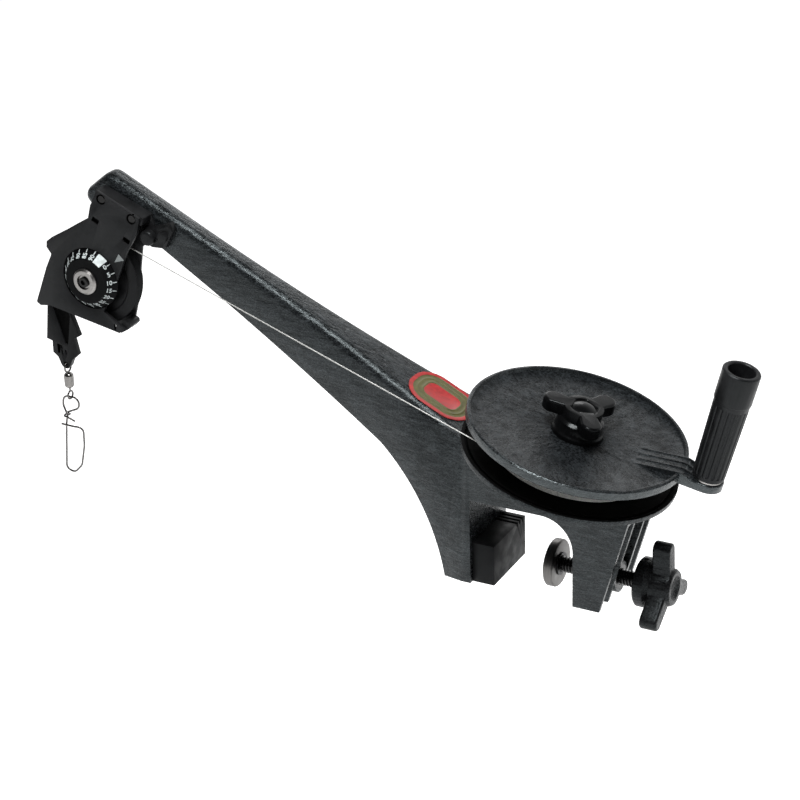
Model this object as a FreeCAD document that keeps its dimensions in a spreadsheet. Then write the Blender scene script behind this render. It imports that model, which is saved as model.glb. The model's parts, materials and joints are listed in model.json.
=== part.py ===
import FreeCAD, Part
import math
import os
import Sketcher

V = FreeCAD.Vector
doc = FreeCAD.newDocument("manual_downrigger")

# Driving dimensions, millimetres and degrees. X points from the boom tip to the crank, Y away
# from the side with the dial, Z up. The origin is the middle of the seat on the gunwale.
SIZES = (
    ("reel_radius", 90.0),
    ("reel_tilt", 14.5),
    ("reel_x", 40.0),
    ("reel_z", 66.5),
    ("flange_lip", 8.0),
    ("flange_web", 3.0),
    ("flange_dish", 5.0),
    ("rim_bead", 3.0),
    ("spool_height", 20.0),
    ("drum_radius", 54.0),
    ("drum_wall", 3.5),
    ("lower_flange_inset", 6.5),
    ("lower_flange_thickness", 2.0),
    ("hub_radius", 18.0),
    ("shaft_radius", 5.0),
    ("shaft_running", 0.08),
    ("shaft_end", 12.0),
    ("bolt_head_level", 57.0),
    ("bolt_head_flats", 17.0),
    ("bolt_head_height", 6.4),
    ("bushing_wall", 2.5),
    ("winding_radius", 63.0),
    ("winding_turns", 12.0),
    ("winding_pitch", 1.5),
    ("cable_diameter", 1.0),
    ("cable_gap", 0.3),
    ("cable_level", 16.0),
    ("arm_angle", 6.5),
    ("arm_width", 27.0),
    ("arm_thickness", 7.0),
    ("arm_recess", 1.5),
    ("arm_ribs", 4.0),
    ("arm_rib_width", 1.6),
    ("arm_rib_start", 51.0),
    ("arm_rib_height", 0.9),
    ("grip_reach", 18.6),
    ("grip_length", 97.0),
    ("grip_top_radius", 15.2),
    ("grip_base_radius", 13.0),
    ("grip_collar", 27.0),
    ("grip_flutes", 18.0),
    ("flute_radius", 1.5),
    ("grip_bore", 11.0),
    ("grip_bore_depth", 22.0),
    ("grip_bolt_radius", 4.0),
    ("grip_nut_flats", 13.0),
    ("grip_nut_height", 3.0),
    ("grip_running", 0.08),
    ("pan_inset", 1.0),
    ("pan_depth", 3.0),
    ("pan_wall", 3.0),
    ("pan_edge", 4.0),
    ("disc_radius", 23.0),
    ("disc_thickness", 1.8),
    ("clutch_thickness", 1.5),
    ("clutch_cover", 1.5),
    ("insert_radius", 8.0),
    ("insert_length", 14.0),
    ("knob_base_radius", 21.0),
    ("knob_skirt_radius", 18.8),
    ("knob_neck_radius", 16.0),
    ("knob_lobe_reach", 33.0),
    ("knob_lobe_radius", 8.5),
    ("knob_lobe_thickness", 11.0),
    ("knob_top", 19.0),
    ("knob_angle", 188.0),
    ("dome_radius", 10.5),
    ("dome_height", 3.0),
    ("dome_groove", 1.4),
    ("boom_slope", 26.565),
    ("boom_top", 30.0),
    ("boom_tip_x", 385.0),
    ("boom_under_x", 126.0),
    ("boom_under_z", 30.0),
    ("boom_under_slope", 32.6),
    ("boom_half_width", 11.0),
    ("flare_start_x", 310.0),
    ("flare_end_x", 48.0),
    ("flare_half_width", 34.5),
    ("frame_half_width", 35.0),
    ("edge_radius", 7.5),
    ("tip_radius", 9.0),
    ("nose_radius", 8.5),
    ("frame_wall", 4.0),
    ("throat_length", 90.5),
    ("seat_half", 40.0),
    ("throat_round", 28.0),
    ("leg_drop", 76.0),
    ("front_leg_thickness", 25.0),
    ("rear_leg_thickness", 23.0),
    ("rear_leg_lean", 15.6),
    ("leg_rib_offset", 14.5),
    ("leg_curve", 180.0),
    ("pad_thickness", 19.7),
    ("pad_half_width", 30.5),
    ("pad_height", 36.0),
    ("pad_screw_spacing", 32.0),
    ("pad_screw_radius", 2.5),
    ("clamp_z", 59.5),
    ("clamp_screw_radius", 6.8),
    ("clamp_running", 0.1),
    ("clamp_boss_radius", 13.0),
    ("clamp_nut_flats", 20.0),
    ("clamp_nut_length", 10.0),
    ("foot_radius", 19.85),
    ("foot_thickness", 8.0),
    ("foot_face_x", 17.4),
    ("clamp_hub_x", 94.5),
    ("clamp_knob_length", 30.0),
    ("clamp_hub_radius", 20.5),
    ("clamp_arm_reach", 40.0),
    ("clamp_arm_tip", 6.5),
    ("clamp_arm_thickness", 15.0),
    ("clamp_arm_angle", 93.0),
    ("axle_x", 397.6),
    ("axle_z", 132.1),
    ("plate_front", 28.5),
    ("plate_thickness", 3.0),
    ("far_plate_thickness", 2.2),
    ("far_plate_radius", 42.0),
    ("pulley_cable_radius", 40.0),
    ("pulley_flange", 3.6),
    ("pulley_width", 9.0),
    ("pulley_groove", 2.6),
    ("axle_radius", 3.0),
    ("axle_running", 0.07),
    ("eccentric_radius", 7.0),
    ("fixed_ring_teeth", 39.0),
    ("dial_ring_teeth", 31.0),
    ("tooth_module", 1.0),
    ("tooth_height", 0.7),
    ("tooth_clearance", 0.1),
    ("gear_gap", 0.2),
    ("dial_radius", 27.0),
    ("dial_face_radius", 19.5),
    ("dial_height", 7.0),
    ("dial_sink", 1.9),
    ("dial_skirt", 22.0),
    ("dial_washer_radius", 11.5),
    ("head_screw_radius", 2.2),
    ("terminator_top", 98.0),
    ("terminator_bottom", 38.0),
    ("terminator_thickness", 5.0),
    ("ring_wire", 1.6),
    ("ring_radius", 4.6),
    ("barrel_radius", 4.3),
    ("barrel_length", 14.0),
    ("eye_radius", 3.6),
    ("snap_wire", 1.5),
    ("badge_length", 58.0),
    ("badge_width", 46.0),
    ("badge_thickness", 0.8),
    ("badge_round", 20.0),
    ("badge_gap", 2.0),
)

sheet = doc.addObject("Spreadsheet::Sheet", "sizes")


class Size:
    """A length with the sheet expression that gives it, so that every use stays bound."""

    def __init__(self, value, text):
        self.value = float(value)
        self.text = text

    def __float__(self):
        return self.value

    def __add__(self, other):
        return Size(self.value + float(other), "(%s + %s)" % (self.text, wording(other)))

    def __radd__(self, other):
        return Size(float(other) + self.value, "(%s + %s)" % (wording(other), self.text))

    def __sub__(self, other):
        return Size(self.value - float(other), "(%s - %s)" % (self.text, wording(other)))

    def __rsub__(self, other):
        return Size(float(other) - self.value, "(%s - %s)" % (wording(other), self.text))

    def __mul__(self, other):
        return Size(self.value * float(other), "(%s * %s)" % (self.text, wording(other)))

    def __rmul__(self, other):
        return Size(float(other) * self.value, "(%s * %s)" % (wording(other), self.text))

    def __truediv__(self, other):
        return Size(self.value / float(other), "(%s / %s)" % (self.text, wording(other)))

    def __neg__(self):
        return Size(-self.value, "(-1 * %s)" % self.text)


def wording(item):
    return item.text if isinstance(item, Size) else repr(float(item))


def sine(angle):
    return Size(math.sin(math.radians(float(angle))), "sin(%s)" % wording(angle))


def cosine(angle):
    return Size(math.cos(math.radians(float(angle))), "cos(%s)" % wording(angle))


def tangent(angle):
    return Size(math.tan(math.radians(float(angle))), "tan(%s)" % wording(angle))


class Sizes:
    pass


size = Sizes()
for row, (name, number) in enumerate(SIZES, start=1):
    sheet.set("A%d" % row, name.replace("_", " "))
    sheet.set("B%d" % row, str(number))
    sheet.setAlias("B%d" % row, name)
    setattr(size, name, Size(number, "sizes." + name))
doc.recompute()

kept = []


def keep(shape_object, label):
    shape_object.Label = label
    kept.append(shape_object)
    return shape_object


def bind(thing, prop, amount):
    if isinstance(amount, Size):
        thing.setExpression(prop, amount.text)
    else:
        setattr(thing, prop, amount)


def place(thing, x, y, z, axis=V(0, 0, 1), angle=0.0):
    thing.Placement = FreeCAD.Placement(V(float(x), float(y), float(z)),
                                        FreeCAD.Rotation(axis, float(angle)))
    for side, amount in (("x", x), ("y", y), ("z", z)):
        if isinstance(amount, Size):
            thing.setExpression("Placement.Base.%s" % side, amount.text)
    if isinstance(angle, Size):
        thing.setExpression("Placement.Rotation.Angle", angle.text)
    return thing


def add_outline(sketch, points, bends=None):
    """Close a sketch through points; bends gives a radius and a side (+1 left, -1 right) to a run."""
    bends = bends or {}
    count = len(points)
    flat = [V(float(x), float(y), 0) for x, y in points]
    first = sketch.GeometryCount
    starts = []
    ends = []
    for index in range(count):
        head = flat[index]
        tail = flat[(index + 1) % count]
        if index in bends:
            radius, side = bends[index]
            half = (tail - head) * 0.5
            normal = V(-half.y, half.x, 0)
            normal.normalize()
            reach = math.sqrt(float(radius) ** 2 - half.Length ** 2)
            centre = head + half - normal * (reach * side)
            angles = [math.atan2(end.y - centre.y, end.x - centre.x) for end in (head, tail)]
            if side > 0:
                angles.reverse()
            if angles[1] < angles[0]:
                angles[1] += 2 * math.pi
            circle = Part.Circle(centre, V(0, 0, 1), float(radius))
            sketch.addGeometry(Part.ArcOfCircle(circle, angles[0], angles[1]), False)
            starts.append(2 if side > 0 else 1)
            ends.append(1 if side > 0 else 2)
            added = sketch.addConstraint(Sketcher.Constraint("Radius", first + index, float(radius)))
            if isinstance(radius, Size):
                sketch.setExpression("Constraints[%d]" % added, radius.text)
        else:
            sketch.addGeometry(Part.LineSegment(head, tail), False)
            starts.append(1)
            ends.append(2)
    for index in range(count):
        after = (index + 1) % count
        sketch.addConstraint(Sketcher.Constraint("Coincident", first + index, ends[index],
                                                 first + after, starts[after]))
        fix_point(sketch, first + index, starts[index], points[index])


def fix_point(sketch, item, corner, point):
    for kind, amount, axis in (("DistanceX", point[0], -2), ("DistanceY", point[1], -1)):
        if abs(float(amount)) < 1e-9:
            sketch.addConstraint(Sketcher.Constraint("PointOnObject", item, corner, axis))
            continue
        added = sketch.addConstraint(Sketcher.Constraint(kind, -1, 1, item, corner, float(amount)))
        if isinstance(amount, Size):
            sketch.setExpression("Constraints[%d]" % added, amount.text)


def add_circle(sketch, x, y, radius):
    item = sketch.addGeometry(Part.Circle(V(float(x), float(y), 0), V(0, 0, 1), float(radius)), False)
    added = sketch.addConstraint(Sketcher.Constraint("Radius", item, float(radius)))
    if isinstance(radius, Size):
        sketch.setExpression("Constraints[%d]" % added, radius.text)
    fix_point(sketch, item, 3, (x, y))


def sketch_on(body, role, name, offset=None):
    sketch = body.newObject("Sketcher::SketchObject", name)
    plane = [f for f in body.Origin.OriginFeatures if f.Role == role][0]
    sketch.AttachmentSupport = [(plane, "")]
    sketch.MapMode = "FlatFace"
    if offset is not None:
        sketch.AttachmentOffset = offset
    return sketch


def new_body(name):
    return doc.addObject("PartDesign::Body", name)


def turned(name, points, bends=None):
    """A body of revolution about its own Z: points are radius and height."""
    body = new_body(name)
    sketch = sketch_on(body, "XZ_Plane", name + "_profile")
    add_outline(sketch, points, bends)
    spin = body.newObject("PartDesign::Revolution", name + "_turn")
    spin.Profile = sketch
    spin.ReferenceAxis = (sketch, ["V_Axis"])
    spin.Angle = 360.0
    doc.recompute()
    return body


def padded(name, points, depth, role="XY_Plane", bends=None, holes=(), both=False, lift=0.0):
    """A flat outline with round holes, padded to a depth along the plane's normal."""
    body = new_body(name)
    sketch = sketch_on(body, role, name + "_outline",
                       FreeCAD.Placement(V(0, 0, float(lift)), FreeCAD.Rotation()))
    if isinstance(lift, Size):
        sketch.setExpression("AttachmentOffset.Base.z", lift.text)
    add_outline(sketch, points, bends)
    for x, y, radius in holes:
        add_circle(sketch, x, y, radius)
    pad = body.newObject("PartDesign::Pad", name + "_pad")
    pad.Profile = sketch
    bind(pad, "Length", depth)
    pad.Midplane = both
    doc.recompute()
    return body


def pocketed(body, name, sketch):
    """Cut a sketch through a body both ways."""
    before = body.Shape.Volume
    cut = body.newObject("PartDesign::Pocket", name + "_cut")
    cut.Profile = sketch
    cut.Type = "ThroughAll"
    cut.Midplane = True
    doc.recompute()
    if cut.Shape.Volume > before - 0.01:
        raise RuntimeError(name + " cuts nothing")


def rounded(body, name, radius, wanted):
    """Round the edges that pass the test."""
    base = body.Tip
    names = []
    for number, edge in enumerate(base.Shape.Edges, start=1):
        if wanted(edge):
            names.append("Edge%d" % number)
    dress = body.newObject("PartDesign::Fillet", name)
    dress.Base = (base, names)
    bind(dress, "Radius", radius)
    doc.recompute()


def middle(edge):
    return edge.valueAt((edge.FirstParameter + edge.LastParameter) / 2)


def cylinder(name, radius, height):
    thing = doc.addObject("Part::Cylinder", name)
    bind(thing, "Radius", radius)
    bind(thing, "Height", height)
    return thing


def block(name, length, width, height):
    thing = doc.addObject("Part::Box", name)
    bind(thing, "Length", length)
    bind(thing, "Width", width)
    bind(thing, "Height", height)
    return thing


def joined(name, *pieces):
    thing = doc.addObject("Part::MultiFuse", name)
    thing.Shapes = list(pieces)
    return thing


def cut_away(name, base, *tools):
    for number, tool in enumerate(tools):
        thing = doc.addObject("Part::Cut", "%s_%d" % (name, number))
        thing.Base = base
        thing.Tool = tool
        base = thing
    return base


def grouped(name, *pieces):
    thing = doc.addObject("Part::Compound", name)
    thing.Links = list(pieces)
    return thing


# Places that the sub-parts share
tilt = size.reel_tilt
across = V(0, 1, 0)
reel_axis = V(float(sine(tilt)), 0, float(cosine(tilt)))
reel_along = V(float(cosine(tilt)), 0, -float(sine(tilt)))
reel_centre = V(float(size.reel_x), 0, float(size.reel_z))


def on_reel(thing):
    """Stand a piece, drawn about its own Z with the rim at zero, on the tilted reel axis."""
    return place(thing, size.reel_x, 0, size.reel_z, across, tilt)


def on_axle(thing):
    """Turn a piece so that its Z points to the viewer, -Y, from the pulley's axle."""
    return place(thing, -size.axle_x, 0, size.axle_z, V(1, 0, 0), 90)


def on_clamp(thing, x):
    """Turn a piece so that its Z points along the clamp screw, +X."""
    return place(thing, x, 0, -size.clamp_z, across, 90)


# Sizes that follow the reel's rim
lower_flange_radius = size.reel_radius - size.lower_flange_inset
pan_radius = size.reel_radius - size.pan_inset
grip_distance = size.reel_radius + size.grip_reach
badge_x = pan_radius + size.badge_length / 2 + size.badge_gap - size.reel_x
run_out = size.reel_radius * 2 / 3

# Heights along the reel axis, counted down from the top of the flange's rim
web_under = size.flange_dish + size.flange_web
pan_top = web_under + size.spool_height
reel_bottom = pan_top + size.lower_flange_thickness
pan_floor = pan_top + size.pan_depth
disc_floor = reel_bottom + size.disc_thickness
shaft_bore = size.shaft_radius + size.shaft_running
bushing_outer = shaft_bore + size.bushing_wall


def boom_top_at(x):
    return size.boom_top - tangent(size.boom_slope) * x


def pan_line_run(level, x0, z0, slope):
    """How far along the pan, at a level below the rim, the line z = z0 + slope (x - x0) crosses."""
    start_x = size.reel_x - level * sine(tilt)
    start_z = size.reel_z - level * cosine(tilt)
    return (start_z - z0 - slope * (start_x - x0)) / (sine(tilt) + slope * cosine(tilt))


def pan_point(run, level):
    return (size.reel_x - level * sine(tilt) + run * cosine(tilt),
            size.reel_z - level * cosine(tilt) - run * sine(tilt))


# Frame: boom, pan under the reel and the two clamp legs, one moulding open below and behind
front_face = -size.seat_half
rear_face = front_face + size.throat_length
rear_foot = rear_face + size.rear_leg_thickness
body_level = pan_floor + 2.0
lean = tangent(90.0 - size.rear_leg_lean)
NOSE = ((8.0, 6.0), (21.0, 16.5), (27.0, 23.5), (19.0, 32.5))
tip_x = -size.boom_tip_x
tip_z = boom_top_at(tip_x)
under_rise = tangent(size.boom_under_slope)
under_tip_x = tip_x + 3.0
frame_side = [
    (tip_x, tip_z),
    pan_point(pan_line_run(body_level, 0.0, size.boom_top, -tangent(size.boom_slope)), body_level),
    pan_point(pan_line_run(body_level, rear_foot, -size.leg_drop, lean), body_level),
    (rear_foot, -size.leg_drop),
    (rear_face, -size.leg_drop),
    (rear_face, -size.throat_round),
    (rear_face - size.throat_round, 0),
    (front_face, 0),
    (front_face, -size.leg_drop),
    (front_face - size.front_leg_thickness, -size.leg_drop),
    (-size.boom_under_x, size.boom_under_z),
    (under_tip_x, size.boom_under_z - (under_tip_x + size.boom_under_x) * under_rise),
]
frame_side += [(tip_x - ahead, tip_z - below) for ahead, below in reversed(NOSE)]
frame_bends = {5: (size.throat_round, -1), 9: (size.leg_curve, -1)}


def frame_blank(name, side, bends, inset, ribs=()):
    """The side view padded across, then trimmed to the plan view less an inset and the ribs."""
    blank = new_body(name)
    sketch = sketch_on(blank, "XZ_Plane", name + "_side")
    add_outline(sketch, side, bends)
    pad = blank.newObject("PartDesign::Pad", name + "_pad")
    pad.Profile = sketch
    bind(pad, "Length", size.frame_half_width * 3)
    pad.Midplane = True
    doc.recompute()
    plan = sketch_on(blank, "XY_Plane", name + "_plan")
    ahead = tip_x - run_out
    behind = rear_foot + run_out
    outside = size.frame_half_width * 2
    run = size.flare_start_x - size.flare_end_x
    rise = size.flare_half_width - size.boom_half_width
    flare_radius = (run * run + rise * rise) / (rise * 2.0)
    for edge in (1, -1):
        add_outline(plan, [
            (ahead, edge * (size.boom_half_width - inset)),
            (-size.flare_start_x, edge * (size.boom_half_width - inset)),
            (-size.flare_end_x, edge * (size.flare_half_width - inset)),
            (behind, edge * (size.frame_half_width - inset)),
            (behind, edge * outside),
            (ahead, edge * outside)], {1: (flare_radius, -edge)})
    half_rib = size.frame_wall / 2
    for centre in ribs:
        add_outline(plan, [(ahead, centre - half_rib), (behind, centre - half_rib),
                           (behind, centre + half_rib), (ahead, centre + half_rib)])
    pocketed(blank, name + "_trim", plan)
    return blank


shell = frame_blank("frame_shell", frame_side, frame_bends, 0.0)
top_normal = V(float(sine(size.boom_slope)), 0, float(cosine(size.boom_slope)))


def across_nose(below):
    """The edge that runs across the boom at a corner of its nose."""
    ahead = dict((down, out) for out, down in NOSE).get(below, 0.0)
    return lambda edge: (abs(middle(edge).x - float(tip_x) + ahead) < 0.01
                         and abs(middle(edge).z - float(tip_z) + below) < 0.01)


def along_boom_top(edge):
    point = middle(edge)
    on_top = abs(point.dot(top_normal) - float(size.boom_top) * top_normal.z) < 0.01
    on_nose = point.x < float(tip_x) + 3.0 and point.z > float(tip_z) - 25.0
    return (on_top and abs(point.y) > 1.0) or (on_nose and abs(point.y) > float(size.boom_half_width) - 0.01)


rounded(shell, "boom_tip_round", size.tip_radius, across_nose(0.0))
rounded(shell, "boom_nose_round", size.nose_radius, across_nose(23.5))
rounded(shell, "frame_top_edges", size.edge_radius, along_boom_top)
top_cover = size.frame_wall + 1.6
hollow_tip = tip_x + 60.0
hollow_back = front_face - 6.0
boom_hollow = frame_blank("boom_hollow", [
    (hollow_tip, boom_top_at(hollow_tip) - top_cover),
    (hollow_back - 16.0, boom_top_at(hollow_back - 16.0) - top_cover),
    (hollow_back, size.seat_half),
    (hollow_back, -size.leg_drop - 4.0),
    (hollow_back - 60.0, -size.leg_drop - 4.0),
    (hollow_tip - 10.0, size.boom_under_z * 3)], {}, size.frame_wall, (0.0,))
leg_hollow = frame_blank("leg_hollow", [
    (rear_face + 6.0, -size.leg_drop - 4.0),
    (rear_face + 6.0, -size.throat_round),
    (rear_face + 20.0, 4.0),
    (rear_foot + run_out, 4.0),
    (rear_foot + run_out, -size.leg_drop - 4.0)], {}, size.frame_wall,
    (-size.leg_rib_offset, size.leg_rib_offset))
pan_skirt = pan_radius - 37.0
pan = on_reel(turned("pan", [
    (0, -disc_floor),
    (size.disc_radius + 0.3, -disc_floor),
    (size.disc_radius + 0.3, -pan_floor),
    (pan_radius - size.pan_wall, -pan_floor),
    (pan_radius - size.pan_wall, -pan_top),
    (pan_radius, -pan_top),
    (pan_radius, -pan_top - size.pan_edge),
    (pan_radius - 5.0, -pan_top - size.pan_edge - 3.0),
    (pan_skirt, -pan_top - size.pan_edge - 18.0),
    (0, -pan_top - size.pan_edge - 18.0)]))
boss_end = rear_foot + (size.leg_drop - size.clamp_z) * tangent(size.rear_leg_lean)
clamp_boss = on_clamp(cylinder("clamp_boss", size.clamp_boss_radius, boss_end - rear_face - 1.0),
                      rear_face + 1.0)
clamp_bore = on_clamp(cylinder("clamp_bore", size.clamp_screw_radius + 0.4, 60.0), rear_face - 5.0)
nut_pocket = doc.addObject("Part::Prism", "nut_pocket")
nut_pocket.Polygon = 6
bind(nut_pocket, "Circumradius", (size.clamp_nut_flats / 2 + 0.1) / cosine(30.0))
bind(nut_pocket, "Height", size.clamp_nut_length + 8.0)
on_clamp(nut_pocket, boss_end - size.clamp_nut_length)
shaft_hole = place(cylinder("shaft_hole", size.shaft_radius, size.bolt_head_level),
                   size.reel_x - size.bolt_head_level * sine(tilt), 0,
                   size.reel_z - size.bolt_head_level * cosine(tilt), across, tilt)
head_hole = place(cylinder("shaft_head_hole", size.shaft_radius + 6.0, 30.0),
                  size.reel_x - (size.bolt_head_level + 30.0) * sine(tilt), 0,
                  size.reel_z - (size.bolt_head_level + 30.0) * cosine(tilt), across, tilt)
pad_screw_z = -size.leg_drop + size.pad_height / 2
pad_screw_holes = [
    place(cylinder("pad_hole_%d" % side, size.pad_screw_radius, 8.0), hollow_back - 1.0,
          side * size.pad_screw_spacing / 2, pad_screw_z, across, 90) for side in (-1, 1)]
HEAD_SCREWS = ((17.8, 73.4), (46.6, 60.2))
head_screw_holes = [
    place(cylinder("head_hole_%d" % number, size.head_screw_radius, size.plate_front + 4.0),
          -size.axle_x + x, 4.0, size.axle_z + z, V(1, 0, 0), 90)
    for number, (x, z) in enumerate(HEAD_SCREWS)]
frame_open = cut_away("frame_open", shell, boom_hollow, leg_hollow)
frame_solid = joined("frame_solid", frame_open, pan, clamp_boss)
keep(cut_away("frame_cut", frame_solid, clamp_bore, nut_pocket, shaft_hole, head_hole,
              *(pad_screw_holes + head_screw_holes)), "frame")

# Clamp: fixed pad on the front leg, screw with foot and knob through the rear leg
pad_block = place(block("pad_block", size.pad_thickness, size.pad_half_width * 2, size.pad_height),
                  front_face, -size.pad_half_width, -size.leg_drop)
pad_grooves = [
    place(block("pad_groove_%d" % number, size.pad_thickness + 2.0, 2.0, 4.0),
          front_face - 1.0, size.pad_half_width - 7.0 - 5.0 * number, -size.leg_drop + size.pad_height - 3.0)
    for number in range(3)]
pad_bores = [
    place(cylinder("pad_bore_%d" % side, size.pad_screw_radius, 14.0), front_face - 1.0,
          side * size.pad_screw_spacing / 2, pad_screw_z, across, 90) for side in (-1, 1)]
keep(cut_away("pad_cut", pad_block, *(pad_grooves + pad_bores)), "jaw_pad")
pad_screw_head = size.pad_screw_radius + 2.0
pad_screws = []
for side in (-1, 1):
    pad_screw = turned("pad_screw_%d" % side, [
        (0, -3.0), (pad_screw_head, -3.0), (pad_screw_head, 0),
        (size.pad_screw_radius, 0), (size.pad_screw_radius, 18.0), (0, 18.0)])
    pad_screws.append(place(pad_screw, hollow_back, side * size.pad_screw_spacing / 2, pad_screw_z,
                            across, 90))
keep(grouped("pad_screw_pair", *pad_screws), "jaw_pad_screws")

clamp_bore_radius = size.clamp_screw_radius + size.clamp_running
foot_seat = 3.0
foot_clip_width = 2.6
foot = turned("foot_disc", [
    (0, 0), (size.foot_radius - 1.0, 0), (size.foot_radius, 1.0),
    (size.foot_radius, size.foot_thickness - 1.0), (size.foot_radius - 1.0, size.foot_thickness),
    (clamp_bore_radius, size.foot_thickness), (clamp_bore_radius, foot_seat), (0, foot_seat)])
keep(on_clamp(foot, size.foot_face_x), "clamp_foot")
foot_clip = turned("foot_clip_ring", [
    (clamp_bore_radius, size.foot_thickness), (clamp_bore_radius + foot_clip_width, size.foot_thickness),
    (clamp_bore_radius + foot_clip_width, size.foot_thickness + 1.2),
    (clamp_bore_radius, size.foot_thickness + 1.2)])
keep(on_clamp(foot_clip, size.foot_face_x), "foot_clip")

knob_socket = size.clamp_knob_length - 6.0
screw_start = foot_seat + 0.1
screw_length = size.clamp_hub_x - size.foot_face_x - screw_start + knob_socket - 1.0
clamp_pin_radius = 2.0
clamp_pin_x = size.clamp_hub_x + 5.0
screw_rod = on_clamp(turned("screw_rod", [
    (0, 0), (size.clamp_screw_radius - 1.0, 0), (size.clamp_screw_radius, 1.0),
    (size.clamp_screw_radius, screw_length), (0, screw_length)]), size.foot_face_x + screw_start)
clamp_pin_bore = place(cylinder("clamp_pin_bore", clamp_pin_radius, size.clamp_hub_radius * 2 + 4.0),
                       clamp_pin_x, 0, -size.clamp_z - size.clamp_hub_radius - 2.0)
keep(cut_away("clamp_screw_cut", screw_rod, clamp_pin_bore), "clamp_screw")
arm_back = size.clamp_knob_length - 2.5
arm_front = arm_back - size.clamp_arm_thickness
knob_front = arm_front + 3.0
clamp_hub = turned("clamp_hub", [
    (size.clamp_screw_radius, 0), (size.clamp_hub_radius - 1.5, 0), (size.clamp_hub_radius, 1.5),
    (size.clamp_hub_radius, 9.0), (size.clamp_hub_radius - 4.5, arm_front),
    (knob_front, arm_back), (knob_front - 1.5, size.clamp_knob_length),
    (10.5, size.clamp_knob_length), (7.0, arm_back), (0, arm_back - 0.6),
    (0, knob_socket), (size.clamp_screw_radius, knob_socket)])


def lobe(name, inner, inner_half, reach, tip, depth, lift, angle, round_over):
    """One arm of a hand knob: straight sides and a rounded end, its outer edges rounded."""
    end = reach - tip
    arm = padded(name, [(inner, -inner_half), (end, -tip), (reach, 0), (end, tip), (inner, inner_half)],
                 depth, lift=lift, bends={1: (tip, -1), 2: (tip, -1)})
    low = float(lift)
    high = low + float(depth)

    def outer_rim(edge):
        point = middle(edge)
        flat = abs(point.z - low) < 0.01 or abs(point.z - high) < 0.01
        return flat and point.x > float(inner) + 0.01

    rounded(arm, name + "_soft", round_over, outer_rim)
    return place(arm, 0, 0, 0, V(0, 0, 1), angle)


arm_turn = size.clamp_arm_angle + 90.0
clamp_arms = [
    lobe("clamp_arm_%d" % number, clamp_bore_radius + 2.0, size.clamp_arm_tip + 0.8, size.clamp_arm_reach,
         size.clamp_arm_tip, size.clamp_arm_thickness, arm_front, arm_turn + 120.0 * number, 2.0)
    for number in range(3)]
clamp_knob_body = on_clamp(joined("clamp_knob_body", clamp_hub, *clamp_arms), size.clamp_hub_x)
keep(cut_away("clamp_knob_cut", clamp_knob_body, clamp_pin_bore), "clamp_knob")
keep(place(cylinder("clamp_roll_pin", clamp_pin_radius, size.clamp_hub_radius * 2 - 2.0), clamp_pin_x, 0,
           -size.clamp_z - size.clamp_hub_radius + 1.0), "clamp_knob_pin")
nut_blank = doc.addObject("Part::Prism", "nut_blank")
nut_blank.Polygon = 6
bind(nut_blank, "Circumradius", size.clamp_nut_flats / 2 / cosine(30.0))
bind(nut_blank, "Height", size.clamp_nut_length)
nut_bore = cylinder("nut_bore", clamp_bore_radius, size.clamp_nut_length)
clamp_nut = cut_away("clamp_nut_cut", nut_blank, nut_bore)
keep(on_clamp(clamp_nut, boss_end - size.clamp_nut_length), "clamp_nut")

# Reel: dished flange, drum, lower flange and crank arm in one moulding
rim_inner = size.reel_radius - size.rim_bead
reel_disc = turned("reel_disc", [
    (bushing_outer, -reel_bottom), (size.hub_radius, -reel_bottom), (size.hub_radius, -web_under),
    (size.drum_radius - size.drum_wall, -web_under), (size.drum_radius - size.drum_wall, -reel_bottom),
    (lower_flange_radius, -reel_bottom), (lower_flange_radius, -pan_top),
    (size.drum_radius, -pan_top), (size.drum_radius, -web_under),
    (size.reel_radius - 5.0, -web_under - 0.01), (size.reel_radius - 1.0, -size.flange_lip),
    (size.reel_radius, -size.flange_lip + 1.0), (size.reel_radius, -1.0), (size.reel_radius - 1.0, 0),
    (rim_inner, 0), (rim_inner - 0.5, -3.5), (rim_inner - 7.0, -size.flange_dish),
    (bushing_outer, -size.flange_dish)])
half_arm = size.arm_width / 2
arm_level = size.arm_recess + size.arm_thickness
crank_arm = padded("crank_arm", [
    (size.reel_radius - 4.5, -half_arm), (grip_distance, -half_arm),
    (grip_distance + half_arm, 0), (grip_distance, half_arm),
    (size.reel_radius - 4.5, half_arm)], size.arm_thickness, lift=-arm_level,
    bends={1: (half_arm, -1), 2: (half_arm, -1)})
rounded(crank_arm, "arm_edges", 1.5, lambda edge: middle(edge).x > float(size.reel_radius) - 4.0
        and abs(middle(edge).z + float(size.arm_recess)) < 0.01)
place(crank_arm, 0, 0, 0, V(0, 0, 1), size.arm_angle)
rib_end = grip_distance - size.grip_base_radius - 1.0
rib_spacing = (size.arm_width - size.arm_rib_width) / (size.arm_ribs - 1.0)
arm_ribs = []
for number in range(round(float(size.arm_ribs))):
    offset = (number - (size.arm_ribs - 1.0) / 2) * rib_spacing
    rib = padded("arm_rib_%d" % number, [
        (size.arm_rib_start, -size.flange_dish - 0.5), (size.arm_rib_start, -size.flange_dish),
        (size.reel_radius - 4.0, size.arm_rib_height), (size.reel_radius, size.arm_rib_height),
        (rib_end, -0.2), (rib_end + 2.0, -size.arm_recess - 1.0),
        (size.reel_radius, -size.arm_recess - 3.0)],
        size.arm_rib_width, role="XZ_Plane", both=True)
    arm_ribs.append(place(rib, -offset * sine(size.arm_angle), offset * cosine(size.arm_angle), 0,
                          V(0, 0, 1), size.arm_angle))
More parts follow.
